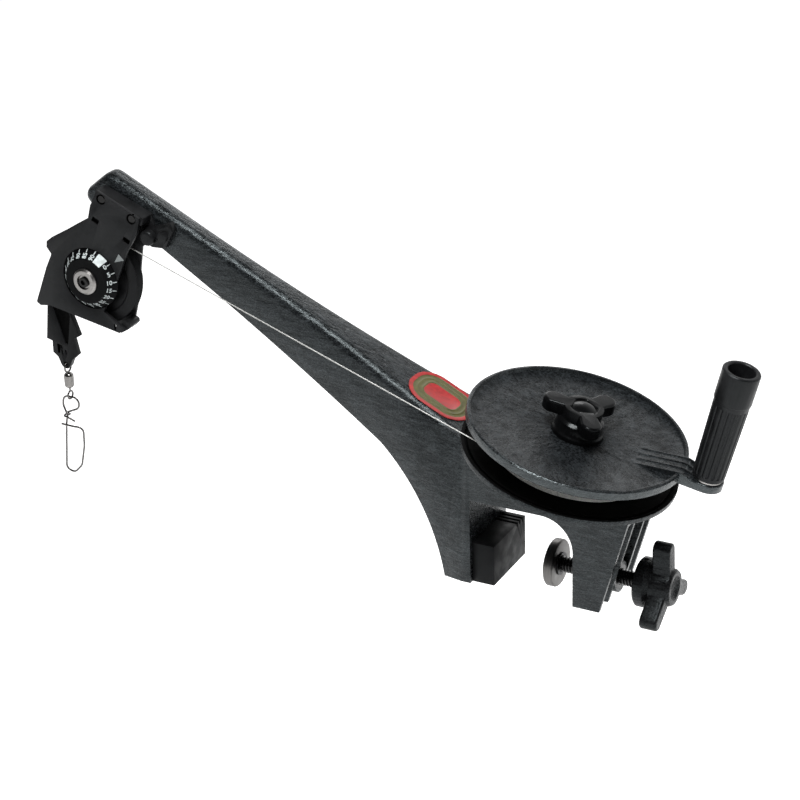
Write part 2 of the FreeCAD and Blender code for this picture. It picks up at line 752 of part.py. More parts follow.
arm_panel = place(padded("arm_panel", [
    (size.arm_rib_start + 2.0, -size.flange_dish - 0.5), (size.arm_rib_start + 2.0, -size.flange_dish),
    (size.reel_radius - 4.0, 0.1), (size.reel_radius + 0.5, 0.1), (size.reel_radius + 2.5, -size.arm_recess),
    (size.reel_radius, -size.arm_recess - 3.0)], size.arm_width - 0.4, role="XZ_Plane", both=True),
    0, 0, 0, V(0, 0, 1), size.arm_angle)
grip_along = grip_distance * cosine(size.arm_angle)
grip_aside = grip_distance * sine(size.arm_angle)
grip_hole = place(cylinder("grip_hole", size.grip_bolt_radius, size.arm_thickness + 4.0),
                  grip_along, grip_aside, -arm_level - 2.0)
reel_moulding = cut_away("reel_cut", joined("reel_solid", reel_disc, crank_arm, arm_panel, *arm_ribs),
                        grip_hole)
keep(on_reel(reel_moulding), "reel")
keep(on_reel(turned("bushing", [
    (shaft_bore, -reel_bottom), (bushing_outer, -reel_bottom), (bushing_outer, -size.flange_dish),
    (shaft_bore, -size.flange_dish)])), "reel_bushing")
keep(on_reel(turned("brake_ring", [
    (shaft_bore, -disc_floor), (size.disc_radius, -disc_floor), (size.disc_radius, -reel_bottom),
    (shaft_bore, -reel_bottom)])), "brake_disc")

# Reel shaft: a bolt from below with the clutch stack and its knob on top
bolt_head = doc.addObject("Part::Prism", "bolt_head")
bolt_head.Polygon = 6
bind(bolt_head, "Circumradius", size.bolt_head_flats / 2 / cosine(30.0))
bind(bolt_head, "Height", size.bolt_head_height)
place(bolt_head, 0, 0, -size.bolt_head_level - size.bolt_head_height)
shank_start = -size.bolt_head_level - 1.0
bolt_shank = turned("bolt_shank", [
    (0, shank_start), (size.shaft_radius, shank_start), (size.shaft_radius, size.shaft_end - 1.0),
    (size.shaft_radius - 1.0, size.shaft_end), (0, size.shaft_end)])
keep(on_reel(joined("reel_bolt", bolt_head, bolt_shank)), "reel_shaft")
cover_inner = size.knob_base_radius - size.clutch_cover
clutch_outer = cover_inner - 0.5
clutch_top = size.flange_dish - size.clutch_thickness
washer_top = clutch_top - size.clutch_thickness
keep(on_reel(turned("clutch_ring", [
    (shaft_bore, -size.flange_dish), (clutch_outer, -size.flange_dish), (clutch_outer, -clutch_top),
    (shaft_bore, -clutch_top)])), "clutch_disc")
keep(on_reel(turned("thrust_ring", [
    (shaft_bore, -clutch_top), (clutch_outer, -clutch_top), (clutch_outer, -washer_top),
    (shaft_bore, -washer_top)])), "thrust_washer")
keep(on_reel(turned("cone_washer", [
    (shaft_bore + 0.5, -washer_top / 2), (clutch_outer - 5.0, -washer_top),
    (clutch_outer - 5.0, -washer_top / 2), (shaft_bore + 0.5, 0)])), "spring_washer")
lobe_bottom = size.knob_top - size.knob_lobe_thickness
knob_neck = size.knob_neck_radius
dome_squares = size.dome_radius * size.dome_radius + size.dome_height * size.dome_height
dome_foot = size.knob_top - size.dome_groove
dome_sphere = dome_squares / (size.dome_height * 2)
knob_middle = turned("knob_middle", [
    (0, size.insert_length), (size.insert_radius, size.insert_length), (size.insert_radius, 0),
    (cover_inner, 0), (cover_inner, -size.flange_dish + 0.1),
    (size.knob_base_radius, -size.flange_dish + 0.1), (size.knob_base_radius, -1.6),
    (size.knob_skirt_radius + 0.6, 0.2), (size.knob_skirt_radius, 1.4),
    (size.knob_skirt_radius, lobe_bottom - 0.5), (knob_neck, lobe_bottom + 1.5), (knob_neck, size.knob_top),
    (size.dome_radius + 1.2, size.knob_top), (size.dome_radius, dome_foot),
    (0, dome_foot + size.dome_height)],
    {13: (dome_sphere, -1)})
knob_lobes = [
    lobe("knob_lobe_%d" % number, size.insert_radius + 1.0, size.knob_lobe_radius - 1.5,
         size.knob_lobe_reach, size.knob_lobe_radius, size.knob_lobe_thickness, lobe_bottom,
         size.knob_angle - 120.0 * number, 2.0)
    for number in range(3)]
keep(on_reel(joined("knob_body", knob_middle, *knob_lobes)), "clutch_knob")
keep(on_reel(turned("insert", [
    (shaft_bore, 0), (size.insert_radius, 0), (size.insert_radius, size.insert_length),
    (shaft_bore, size.insert_length)])), "knob_insert")


# Crank grip on its shoulder bolt
def on_grip(thing):
    return place(thing, size.reel_x + grip_along * cosine(tilt), grip_aside,
                 size.reel_z - grip_along * sine(tilt), across, tilt)


grip_bore_radius = size.grip_bolt_radius + size.grip_running
collar_start = size.grip_length - size.grip_collar
grip_seat = size.grip_length - size.grip_bore_depth
grip = turned("grip_turning", [
    (grip_bore_radius, 0), (size.grip_base_radius - 0.6, 0), (size.grip_base_radius, 0.6),
    (size.grip_top_radius - 0.8, collar_start), (size.grip_top_radius - 0.2, collar_start + 0.6),
    (size.grip_top_radius, size.grip_length - 1.0), (size.grip_top_radius - 1.0, size.grip_length),
    (size.grip_bore + 0.8, size.grip_length), (size.grip_bore, size.grip_length - 0.8),
    (size.grip_bore, grip_seat), (grip_bore_radius, grip_seat)])
flute_low = sketch_on(grip, "XY_Plane", "flute_low", FreeCAD.Placement(V(0, 0, 4), FreeCAD.Rotation()))
add_circle(flute_low, size.grip_base_radius + 0.7, 0, size.flute_radius - 0.1)
flute_high = sketch_on(grip, "XY_Plane", "flute_high",
                       FreeCAD.Placement(V(0, 0, float(collar_start) - 4.0), FreeCAD.Rotation()))
flute_high.setExpression("AttachmentOffset.Base.z", (collar_start - 4.0).text)
add_circle(flute_high, size.grip_top_radius - 0.1, 0, size.flute_radius)
flute = grip.newObject("PartDesign::SubtractiveLoft", "flute")
flute.Profile = flute_low
flute.Sections = [flute_high]
doc.recompute()
flutes = grip.newObject("PartDesign::PolarPattern", "flutes")
flutes.Originals = [flute]
flutes.Axis = ([f for f in grip.Origin.OriginFeatures if f.Role == "Z_Axis"][0], [""])
flutes.Angle = 360.0
bind(flutes, "Occurrences", size.grip_flutes)
grip.Tip = flutes
doc.recompute()
keep(on_grip(grip), "crank_grip")
keep(on_grip(turned("washer_ring", [
    (size.grip_bolt_radius, -size.arm_recess), (size.grip_base_radius - 1.0, -size.arm_recess),
    (size.grip_base_radius - 1.0, 0), (size.grip_bolt_radius, 0)])), "grip_washer")
grip_bolt_end = arm_level + size.grip_nut_height + 0.5
keep(on_grip(turned("shoulder_bolt", [
    (0, -grip_bolt_end), (size.grip_bolt_radius, -grip_bolt_end), (size.grip_bolt_radius, grip_seat + 0.1),
    (size.grip_bolt_radius + 3.0, grip_seat + 0.1), (size.grip_bolt_radius + 3.0, grip_seat + 5.1),
    (0, grip_seat + 5.1)])), "grip_bolt")
grip_nut_blank = doc.addObject("Part::Prism", "grip_nut_blank")
grip_nut_blank.Polygon = 6
bind(grip_nut_blank, "Circumradius", size.grip_nut_flats / 2 / cosine(30.0))
bind(grip_nut_blank, "Height", size.grip_nut_height)
place(grip_nut_blank, 0, 0, -arm_level - size.grip_nut_height)
grip_nut_bore = place(cylinder("grip_nut_bore", size.grip_bolt_radius, size.grip_nut_height + 2.0),
                      0, 0, -arm_level - size.grip_nut_height - 1.0)
keep(on_grip(cut_away("grip_nut_cut", grip_nut_blank, grip_nut_bore)), "grip_nut")

# Badge on the top of the boom, bare
badge_half = size.badge_width / 2
badge_end = size.badge_length / 2
badge_round = size.badge_round
badge = padded("badge_plate", [
    (badge_round - badge_end, -badge_half), (badge_end - badge_round, -badge_half),
    (badge_end, badge_round - badge_half), (badge_end, badge_half - badge_round),
    (badge_end - badge_round, badge_half), (badge_round - badge_end, badge_half),
    (-badge_end, badge_half - badge_round), (-badge_end, badge_round - badge_half)],
    size.badge_thickness, bends={1: (badge_round, -1), 3: (badge_round, -1), 5: (badge_round, -1),
                                 7: (badge_round, -1)})
keep(place(badge, -badge_x, 0, boom_top_at(-badge_x), across, size.boom_slope), "badge")

# Head: far plate with boss block and lip, and the near plate, drawn round the pulley's axle
plate_back = size.plate_front - size.plate_thickness
head_depth = plate_back - size.boom_half_width
BOSS = ((4.0, 60.0), (11.5, 80.0), (56.5, 61.0), (55.0, 55.0), (46.0, 50.5), (4.0, 51.0))
KNUCKLE = ((46.5, 42.5), (50.0, 49.5), (62.0, 51.5), (77.0, 57.0), (80.0, 50.0), (70.0, 33.5), (58.0, 33.0),
           (50.0, 36.0))
FAR_WEB = ((-36.0, 21.0), (3.0, 52.0), (11.5, 80.0), (56.5, 61.0), (60.0, 46.0), (53.0, 36.5), (45.0, 30.0),
           (41.5, 10.0), (39.0, -12.0), (32.0, -35.5), (25.4, -46.9), (17.0, -44.5), (0.0, -38.0))
LIP = ((17.0, -44.5), (25.4, -46.9), (32.0, -43.0), (35.5, -39.5), (35.0, -36.5), (31.0, -34.5),
       (23.5, -40.0))
NEAR_PLATE = (
    (14.0, 80.5), (6.2, 66.2), (3.1, 55.0), (-9.9, 47.4), (-20.8, 40.7), (-36.0, 32.1), (-42.0, 27.5),
    (-42.7, 22.0), (-38.3, 16.3), (-44.7, 3.8), (-58.8, -30.9), (-54.8, -33.5), (-45.0, -32.0),
    (25.4, -46.0), (31.5, -42.0), (11.0, -28.5), (31.0, 9.5), (39.0, 28.5), (51.0, 47.5), (54.5, 61.5))
head_boss = padded("head_boss", BOSS, head_depth, lift=size.boom_half_width)
far_web = padded("far_web", FAR_WEB, size.far_plate_thickness, lift=size.boom_half_width)
far_disc = place(cylinder("far_disc", size.far_plate_radius, size.far_plate_thickness), 0, 0,
                 size.boom_half_width)
head_lip = padded("head_lip", LIP, head_depth, lift=size.boom_half_width)
rounded(head_lip, "lip_end", 2.0, lambda edge: middle(edge).x > 31.5 and edge.tangentAt(0).z ** 2 > 0.9)
knuckle_depth = 7.5
knuckle = padded("knuckle", KNUCKLE, knuckle_depth, lift=size.boom_half_width)
rounded(knuckle, "knuckle_face", 2.5,
        lambda edge: abs(middle(edge).z - float(size.boom_half_width) - knuckle_depth) < 0.01)
stud_end = size.boom_half_width + 14.0
knuckle_stud = place(turned("knuckle_stud", [
    (0, size.boom_half_width), (6.8, size.boom_half_width), (6.8, stud_end - 3.0), (3.8, stud_end),
    (0, stud_end)], {2: (3.0, -1)}), 57.0, 43.0, 0)
knuckle_nut = doc.addObject("Part::Prism", "knuckle_nut")
knuckle_nut.Polygon = 6
bind(knuckle_nut, "Circumradius", 4.8)
bind(knuckle_nut, "Height", size.boom_half_width)
place(knuckle_nut, 71.0, 45.0, size.boom_half_width)
axle_hole = cylinder("axle_hole", size.axle_radius, size.plate_front)
boss_holes = [
    place(cylinder("boss_hole_%d" % number, size.head_screw_radius, size.plate_front), x, z, 0)
    for number, (x, z) in enumerate(HEAD_SCREWS)]
housing = joined("housing", head_boss, far_web, far_disc, head_lip, knuckle, knuckle_stud,
                 knuckle_nut)
keep(on_axle(cut_away("housing_cut", housing, axle_hole, *boss_holes)), "head_housing")

# Counter: a wobble gear on the pulley's eccentric walks round the near plate's ring and turns the
# dial's ring, with one tooth of difference in each mesh
offset = size.tooth_module / 2


def toothed(name, teeth, slack, bottom, top):
    """A prism whose outline swings round the pitch circle once for each tooth."""
    radius = float(teeth * size.tooth_module / 2) + slack
    swing = float(size.tooth_height) / 2
    count = round(float(teeth))
    corners = []
    for step in range(count * 4):
        angle = 2 * math.pi * (step - 1) / (4 * count)
        reach = radius + swing * (0, 1, 0, -1)[step % 4]
        corners.append(V(reach * math.cos(angle), reach * math.sin(angle), float(bottom)))
    corners.append(corners[0])
    arcs = [Part.Arc(*corners[start:start + 3]).toShape() for start in range(0, count * 4, 2)]
    thing = doc.addObject("Part::Feature", name)
    thing.Shape = Part.Face(Part.Wire(arcs)).extrude(V(0, 0, float(top - bottom)))
    return thing


ring_slack = float(size.tooth_clearance)
dial_back = size.plate_front + 0.1
dial_top = size.plate_front + size.dial_height
dial_cavity = dial_top - 3.1
dial_seat = size.plate_front - size.dial_sink
gear_step = size.plate_front - 0.1
gear_top = dial_cavity - size.gear_gap
fixed_ring = toothed("fixed_ring", size.fixed_ring_teeth, ring_slack, plate_back - 1.0,
                     size.plate_front + 1.0)
near_plate = padded("near_plate", NEAR_PLATE, size.plate_thickness, lift=plate_back)
rounded(near_plate, "plate_ears", 2.0, lambda edge: middle(edge).x < -37.0 and edge.tangentAt(0).z ** 2 > 0.9)
plate_holes = [
    place(cylinder("plate_hole_%d" % number, size.head_screw_radius, size.plate_front + 2.0), x, z, 0)
    for number, (x, z) in enumerate(HEAD_SCREWS)]
screw_seat = size.plate_front - 2.0
screw_pockets = [
    place(cylinder("screw_pocket_%d" % number, size.head_screw_radius + 2.4, 4.0), x, z, screw_seat)
    for number, (x, z) in enumerate(HEAD_SCREWS)]
SLOTS = ((8.7, 54.1), (38.4, 40.7))
slot_cuts = [
    place(block("slot_%d" % number, 7.0, 4.4, size.plate_front + 2.0), x - 2.5, z - 0.8, 0, V(0, 0, 1),
          -size.boom_slope)
    for number, (x, z) in enumerate(SLOTS)]
tongue_slot = place(block("tongue_slot", 2.2, 5.5, size.plate_front + 2.0), 20.3, -44.0, 0)
groove_in = size.dial_skirt - 0.4
groove_out = size.dial_radius + 0.4
dial_groove = turned("dial_groove", [
    (groove_in, dial_seat - 0.1), (groove_out, dial_seat - 0.1), (groove_out, size.plate_front + 1.0),
    (groove_in, size.plate_front + 1.0)])
plate_cuts = plate_holes + screw_pockets + slot_cuts + [tongue_slot, dial_groove]
keep(on_axle(cut_away("near_plate_cut", near_plate, fixed_ring, *plate_cuts)), "counter_plate")
head_screw_parts = []
head = size.head_screw_radius + 1.6
for number, (x, z) in enumerate(HEAD_SCREWS):
    screw = turned("head_screw_%d" % number, [
        (0, 0), (size.head_screw_radius, 0), (size.head_screw_radius, screw_seat), (head, screw_seat),
        (head, screw_seat + 1.0), (head - 0.8, screw_seat + 1.6), (0, screw_seat + 1.6)])
    head_screw_parts.append(place(screw, -size.axle_x + x, 0, size.axle_z + z, V(1, 0, 0), 90))
keep(grouped("head_screw_pair", *head_screw_parts), "head_screws")

wobble_bore = size.eccentric_radius + size.axle_running
wobble_back = plate_back - size.gear_gap
wobble_large = toothed("wobble_large", size.fixed_ring_teeth - 1.0, 0.0, wobble_back, gear_step)
wobble_small = toothed("wobble_small", size.dial_ring_teeth - 1.0, 0.0, gear_step - 0.5, gear_top)
wobble_hole = cylinder("wobble_hole", wobble_bore, dial_top)
wobble = cut_away("wobble_cut", joined("wobble_solid", wobble_large, wobble_small), wobble_hole)
keep(place(wobble, -size.axle_x + offset, 0, size.axle_z, V(1, 0, 0), 90), "wobble_gear")

axle_bore = size.axle_radius + size.axle_running
dial_cone = turned("dial_cone", [
    (axle_bore, dial_back), (size.dial_skirt, dial_back), (size.dial_skirt, dial_seat),
    (size.dial_radius, dial_seat), (size.dial_radius, dial_seat + 0.5),
    (size.dial_face_radius, dial_top), (axle_bore, dial_top)])
dial_ring = toothed("dial_ring", size.dial_ring_teeth, ring_slack, size.plate_front - 1.0, dial_cavity)
keep(on_axle(cut_away("dial_cut", dial_cone, dial_ring)), "dial")
washer_edge = dial_top + 3.0
keep(on_axle(turned("dial_dish", [
    (2.0, dial_top), (size.dial_washer_radius, dial_top), (size.dial_washer_radius, dial_top + 1.4),
    (size.dial_washer_radius - 1.6, washer_edge), (6.6, washer_edge), (6.0, dial_top + 1.0),
    (2.0, dial_top + 1.0)])), "dial_washer")
socket = doc.addObject("Part::Prism", "screw_socket")
socket.Polygon = 6
bind(socket, "Circumradius", 2.5)
bind(socket, "Height", 4.0)
place(socket, 0, 0, dial_top + 1.8)
dial_bolt = turned("dial_bolt", [
    (0, dial_top - 8.0), (2.0, dial_top - 8.0), (2.0, dial_top + 1.0), (4.6, dial_top + 1.0),
    (4.6, dial_top + 3.2), (4.0, dial_top + 3.8), (0, dial_top + 3.8)])
keep(on_axle(cut_away("dial_bolt_cut", dial_bolt, socket)), "dial_screw")
axle = turned("axle", [
    (0, size.boom_half_width - 4.0), (size.axle_radius + 3.5, size.boom_half_width - 4.0),
    (size.axle_radius + 3.5, size.boom_half_width), (size.axle_radius, size.boom_half_width),
    (size.axle_radius, dial_top), (2.0, dial_top), (2.0, dial_top - 8.5), (0, dial_top - 8.5)])
keep(on_axle(axle), "pulley_axle")

# Pulley: grooved wheel whose hub carries the counter's eccentric
pulley_far = size.boom_half_width + size.far_plate_thickness + 0.3
pulley_near = pulley_far + size.pulley_width
pulley_level = pulley_far + size.pulley_width / 2
pulley_rim = size.pulley_cable_radius + size.pulley_flange
groove_floor = size.pulley_cable_radius - size.cable_diameter / 2 - 0.1
groove_half = size.pulley_groove / 2
pulley_bore = size.axle_radius + 1.5
wheel = turned("wheel", [
    (pulley_bore, pulley_far), (13.0, pulley_far), (14.5, pulley_far + 2.0), (33.0, pulley_far + 2.0),
    (34.5, pulley_far), (pulley_rim - 0.5, pulley_far), (pulley_rim, pulley_far + 0.5),
    (groove_floor, pulley_level - groove_half), (groove_floor, pulley_level + groove_half),
    (pulley_rim, pulley_near - 0.5), (pulley_rim - 0.5, pulley_near), (34.5, pulley_near),
    (33.0, pulley_near - 2.0), (14.5, pulley_near - 2.0), (13.0, pulley_near), (pulley_bore, pulley_near)])
shoulder = turned("shoulder", [
    (pulley_bore, pulley_near - 1.0), (11.0, pulley_near - 1.0), (11.0, wobble_back - size.gear_gap),
    (pulley_bore, wobble_back - size.gear_gap)])
eccentric = place(cylinder("eccentric", size.eccentric_radius, gear_top - pulley_near), offset, 0,
                  pulley_near)
hub_hole = cylinder("hub_hole", pulley_bore, dial_top)
keep(on_axle(cut_away("pulley_cut", joined("pulley_solid", wheel, shoulder, eccentric), hub_hole)), "pulley")
keep(on_axle(turned("bush", [
    (axle_bore, pulley_far), (pulley_bore, pulley_far), (pulley_bore, gear_top), (axle_bore, gear_top)])),
    "pulley_bushing")


# Cable: outer layer on the drum over plain inner layers, and the run to the terminator
def swept(name, edges, diameter):
    """A round bar along joined edges, checked against its section times its length."""
    path = Part.Wire(edges)
    start = path.Edges[0].valueAt(path.Edges[0].FirstParameter)
    heading = path.Edges[0].tangentAt(path.Edges[0].FirstParameter)
    section = Part.Wire(Part.Circle(start, heading, diameter / 2).toShape())
    solid = path.makePipeShell([section], True, False)
    expected = math.pi * diameter ** 2 / 4 * path.Length
    print("%s length %.1f mm, volume ratio %.4f" % (name, path.Length, solid.Volume / expected))
    thing = doc.addObject("Part::Feature", name)
    thing.Shape = solid
    return thing


def biarc(start, start_way, end, end_way):
    """Two arcs that leave start and reach end along the given directions."""
    across_gap = end - start
    both = start_way + end_way
    along = across_gap.dot(both)
    turn = 2 * (1 - start_way.dot(end_way))
    reach = (-along + math.sqrt(along ** 2 + turn * across_gap.dot(across_gap))) / turn
    joint = (start + end + (start_way - end_way) * reach) * 0.5
    arcs = []
    for head, way, tail in ((start, start_way, joint), (joint, None, end)):
        if way is None:
            way = arcs[0].tangent(arcs[0].LastParameter)[0]
        chord = tail - head
        normal = chord - way * chord.dot(way)
        normal.normalize()
        radius = chord.dot(chord) / (2 * chord.dot(normal))
        centre = head + normal * radius
        outward = (head + tail) * 0.5 - centre
        outward.normalize()
        if chord.dot(way) < 0:
            outward = outward * -1
        arcs.append(Part.Arc(head, centre + outward * radius, tail))
    return arcs


def rounded_run(points, radii):
    """Straight runs through the points with an arc of the given radius at each one between."""
    edges = []
    cursor = points[0]
    for index in range(1, len(points) - 1):
        before = points[index] - points[index - 1]
        after = points[index + 1] - points[index]
        before.normalize()
        after.normalize()
        turn = before.getAngle(after)
        reach = radii[index - 1] * math.tan(turn / 2)
        head = points[index] - before * reach
        tail = points[index] + after * reach
        inward = after - before
        inward.normalize()
        centre = points[index] + inward * (radii[index - 1] / math.cos(turn / 2))
        edges.append(Part.LineSegment(cursor, head).toShape())
        edges.append(Part.Arc(head, centre - inward * radii[index - 1], tail).toShape())
        cursor = tail
    edges.append(Part.LineSegment(cursor, points[-1]).toShape())
    return edges


def reel_point(angle, radius, level):
    return (reel_centre + reel_along * (radius * math.cos(angle)) + across * (radius * math.sin(angle))
            - reel_axis * level)


cable = float(size.cable_diameter)
winding = float(size.winding_radius)
keep(on_reel(turned("core", [
    (size.drum_radius, -pan_top), (size.winding_radius - size.cable_diameter / 2, -pan_top),
    (size.winding_radius - size.cable_diameter / 2, -web_under),
    (size.drum_radius, -web_under)])), "cable_inner_layers")
quarter = math.pi / 2
rise = float(size.winding_pitch) / 4
winding_start = float(web_under + size.spool_height / 2) + rise * 2 * float(size.winding_turns)
stations = []
for step in range(round(float(size.winding_turns)) * 4 + 1):
    angle = step * quarter
    way = (across * math.cos(angle) - reel_along * math.sin(angle)) * (winding * quarter) + reel_axis * rise
    way.normalize()
    stations.append((reel_point(angle, winding, winding_start - step * rise), way))
turns = [Part.LineSegment(stations[0][0] - stations[0][1] * cable, stations[0][0]).toShape()]
for (head, head_way), (tail, tail_way) in zip(stations, stations[1:]):
    turns += [arc.toShape() for arc in biarc(head, head_way, tail, tail_way)]
turns.append(Part.LineSegment(stations[-1][0], stations[-1][0] + stations[-1][1] * cable).toShape())
print("winding least gap to itself %.3f mm" % (float(size.winding_pitch) - cable))
keep(swept("winding", turns, cable), "cable_winding")

wheel_radius = float(size.pulley_cable_radius)
wheel_centre = V(-float(size.axle_x), -float(pulley_level), float(size.axle_z))
run_radius = winding + cable + float(size.cable_gap)
run_level = float(size.cable_level)
kink_radius = 30.0
steep = 0.25
for attempt in range(12):
    top = wheel_centre + V(math.sin(steep), 0, math.cos(steep)) * wheel_radius
    bend = top + V(math.cos(steep), 0, -math.sin(steep)) * 4.0
    toward = bend - reel_centre
    seen = math.atan2(toward.dot(across), toward.dot(reel_along))
    flat = math.hypot(toward.dot(across), toward.dot(reel_along))
    leave = seen + math.acos(run_radius / flat)
    left = reel_point(leave, run_radius, run_level)
    steep = math.atan2(bend.z - left.z, left.x - bend.x)
print("cable leaves the drum at", left, "and meets the pulley at", top)
run_way = bend - left
run_way.normalize()
drum_way = across * -math.cos(leave) + reel_along * math.sin(leave)
cable_edges = biarc(reel_point(leave + quarter, run_radius, run_level),
                    across * -math.cos(leave + quarter) + reel_along * math.sin(leave + quarter),
                    left, run_way)
drop = wheel_centre - V(wheel_radius, 0, 0)
terminator_top = V(drop.x, drop.y, float(size.terminator_top))
over = V(-math.sin(quarter / 2 - steep / 2), 0, math.cos(quarter / 2 - steep / 2)) * wheel_radius
run_edges = [arc.toShape() for arc in cable_edges]
run_edges += rounded_run([left, bend, top], [kink_radius])
run_edges.append(Part.Arc(top, wheel_centre + over, drop).toShape())
run_edges.append(Part.LineSegment(drop, terminator_top).toShape())
print("run bends: drum %.1f, kink %.1f, pulley %.1f mm" % (run_radius, kink_radius, wheel_radius))
keep(swept("run", run_edges, cable), "cable_run")


# Terminator, swivel and snap, hanging in the pulley's plane below the cable
def hang(thing, z=0.0):
    return place(thing, -size.axle_x - size.pulley_cable_radius, -pulley_level, z)


half_body = size.terminator_thickness / 2
drop_height = size.terminator_top - size.terminator_bottom
BODY = ((-13.5, 0.0), (-17.8, -34.0), (-12.1, -35.5), (-12.4, -46.1), (-7.6, -49.8), (-4.4, -57.5),
        (-1.8, -59.8), (1.8, -59.8), (4.4, -57.0), (7.4, -50.5), (13.9, -44.7), (10.8, -30.0),
        (17.0, -26.5), (7.5, 0.0))
COVER = ((-8.0, -10.0), (-10.0, -33.0), (9.0, -33.0), (8.0, -10.0))
GROOVE = ((-9.0, 1.0), (1.5, -36.0), (4.5, -36.0), (9.0, -9.0), (6.0, 1.0))
SLITS = ((-7.2, -46.0, 2.0, 8.5), (-3.4, -46.5, 1.4, 8.0), (0.6, -47.0, 1.4, 5.0))
RING_LEVEL = 4.9
ring_hole_z = size.terminator_bottom + RING_LEVEL
body_plate = padded("terminator_plate", BODY, size.terminator_thickness, role="XZ_Plane", both=True)
ring_hole = place(cylinder("ring_hole", size.ring_wire / 2 + 0.9, size.terminator_thickness + 4.0), 0,
                  half_body + 2.0, RING_LEVEL - drop_height, V(1, 0, 0), 90)
cable_hole = place(cylinder("cable_hole", 1.2, 8.0), 0, 0, -7.0)
cover_seat = padded("cover_seat", COVER, 2.0, role="XZ_Plane", lift=-half_body - 1.0)
groove = padded("terminator_groove", GROOVE, 2.0, role="XZ_Plane", lift=half_body - 1.2)
slits = [
    place(block("slit_%d" % number, width, 3.0, height), x, -half_body - 1.8, z)
    for number, (x, z, width, height) in enumerate(SLITS)]
terminator = cut_away("terminator_cut", body_plate, ring_hole, cable_hole, cover_seat, groove, *slits)
keep(hang(terminator, size.terminator_top), "cable_terminator")
cover = padded("terminator_lid", [(x * 0.96, z * 0.98 - 0.4) for x, z in COVER], 2.5, role="XZ_Plane",
               lift=-half_body - 1.5)
lid_hole = place(cylinder("lid_hole", 1.5, 20.0), 0, 10.0, -22.0, V(1, 0, 0), 90)
keep(hang(cut_away("lid_cut", cover, lid_hole), size.terminator_top), "terminator_cover")
lid_screw = turned("lid_screw", [
    (0, half_body - 1.0), (1.5, half_body - 1.0), (1.5, half_body + 1.5), (3.0, half_body + 1.5),
    (3.0, half_body + 2.4), (2.2, half_body + 3.0), (0, half_body + 3.0)])
keep(place(lid_screw, -size.axle_x - size.pulley_cable_radius, -pulley_level, size.terminator_top - 22.0,
           V(1, 0, 0), -90), "terminator_screw")


def eye(name, centre_z, radius, wire, shank_from, shank_to):
    """A wire ring across the hanging line with a shank that enters the barrel."""
    loop = doc.addObject("Part::Torus", name + "_loop")
    bind(loop, "Radius1", radius)
    bind(loop, "Radius2", wire / 2)
    place(loop, 0, 0, centre_z, across, 90)
    shank = place(cylinder(name + "_shank", wire / 2, shank_to - shank_from), 0, 0, shank_from)
    return joined(name, loop, shank)


ring_z = ring_hole_z - size.ring_radius + 0.4
barrel_top = ring_z - size.ring_radius - size.ring_wire / 2 - 0.2
barrel_bottom = barrel_top - size.barrel_length
eye_z = barrel_bottom - 3.7 - size.eye_radius
barrel = turned("barrel", [
    (0, 0), (2.2, 0), (size.barrel_radius, 3.0), (size.barrel_radius, size.barrel_length - 3.0),
    (2.2, size.barrel_length), (0, size.barrel_length)], {1: (3.2, -1), 3: (3.2, -1)})
shank_room = size.ring_wire / 2 + size.axle_running
top_bore = place(cylinder("barrel_top_bore", shank_room, 5.0), 0, 0, size.barrel_length - 4.5)
low_bore = place(cylinder("barrel_low_bore", shank_room, 5.0), 0, 0, -0.5)
keep(hang(cut_away("barrel_cut", barrel, top_bore, low_bore), barrel_bottom), "swivel_barrel")
keep(hang(eye("swivel_top", ring_z, size.ring_radius, size.ring_wire, barrel_top - 4.4,
              ring_z - size.ring_radius)), "swivel_ring")
keep(hang(eye("swivel_low", eye_z, size.eye_radius, size.ring_wire, eye_z + size.eye_radius,
              barrel_bottom + 4.4)), "swivel_eye")

wire = float(size.snap_wire)
snap_top = float(eye_z - size.eye_radius + size.ring_wire / 2 + size.snap_wire / 2) + 0.1
SNAP = (
    (-11.0, -1.9, -27.6), (1.0, -1.9, -27.9), (10.6, 0.0, -28.6), (10.0, 0.0, -46.0), (5.5, 0.0, -66.0),
    (-3.0, 0.0, -75.0), (-11.6, 0.0, -72.0), (-7.2, 0.0, -27.0), (-4.6, 0.0, -15.6), (8.6, 0.0, -9.5),
    (7.6, 0.0, 0.0), (-7.6, 0.0, 0.0), (-9.0, 0.0, -9.5), (-4.6, -1.9, -15.6), (-2.4, -1.9, -17.2),
    (-3.4, 1.9, -18.0), (-7.8, 1.9, -18.6), (-7.8, -1.9, -19.4), (-3.6, -1.9, -20.0), (3.4, -1.9, -22.4))
SNAP_BENDS = (9.0, 5.0, 20.0, 9.0, 6.0, 5.0, 9.0, 2.5, 6.0, 5.5, 5.5, 6.0, 3.0, 0.9, 1.6, 1.6, 1.6, 1.6)
snap_points = [V(drop.x + x, drop.y + y, snap_top + z) for x, y, z in SNAP]
keep(swept("snap_bend", rounded_run(snap_points, SNAP_BENDS), wire), "snap")

# Check every object and every sub-part, then write one file for each
doc.recompute()
for thing in doc.Objects:
    if "Invalid" in thing.State or "Error" in thing.State:
        raise RuntimeError("%s failed: %s" % (thing.Label, thing.State))
for part in kept:
    if part.Shape.isNull() or not part.Shape.isValid():
        raise RuntimeError(part.Label + " has no valid shape")
os.makedirs("parts", exist_ok=True)
for part in kept:
    part.Shape.exportStep("parts/%s.step" % part.Label)
    print("%s: %d solids, %.0f mm3" % (part.Label, len(part.Shape.Solids), part.Shape.Volume))
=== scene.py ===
"""Manual downrigger: the look of each piece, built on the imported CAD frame."""

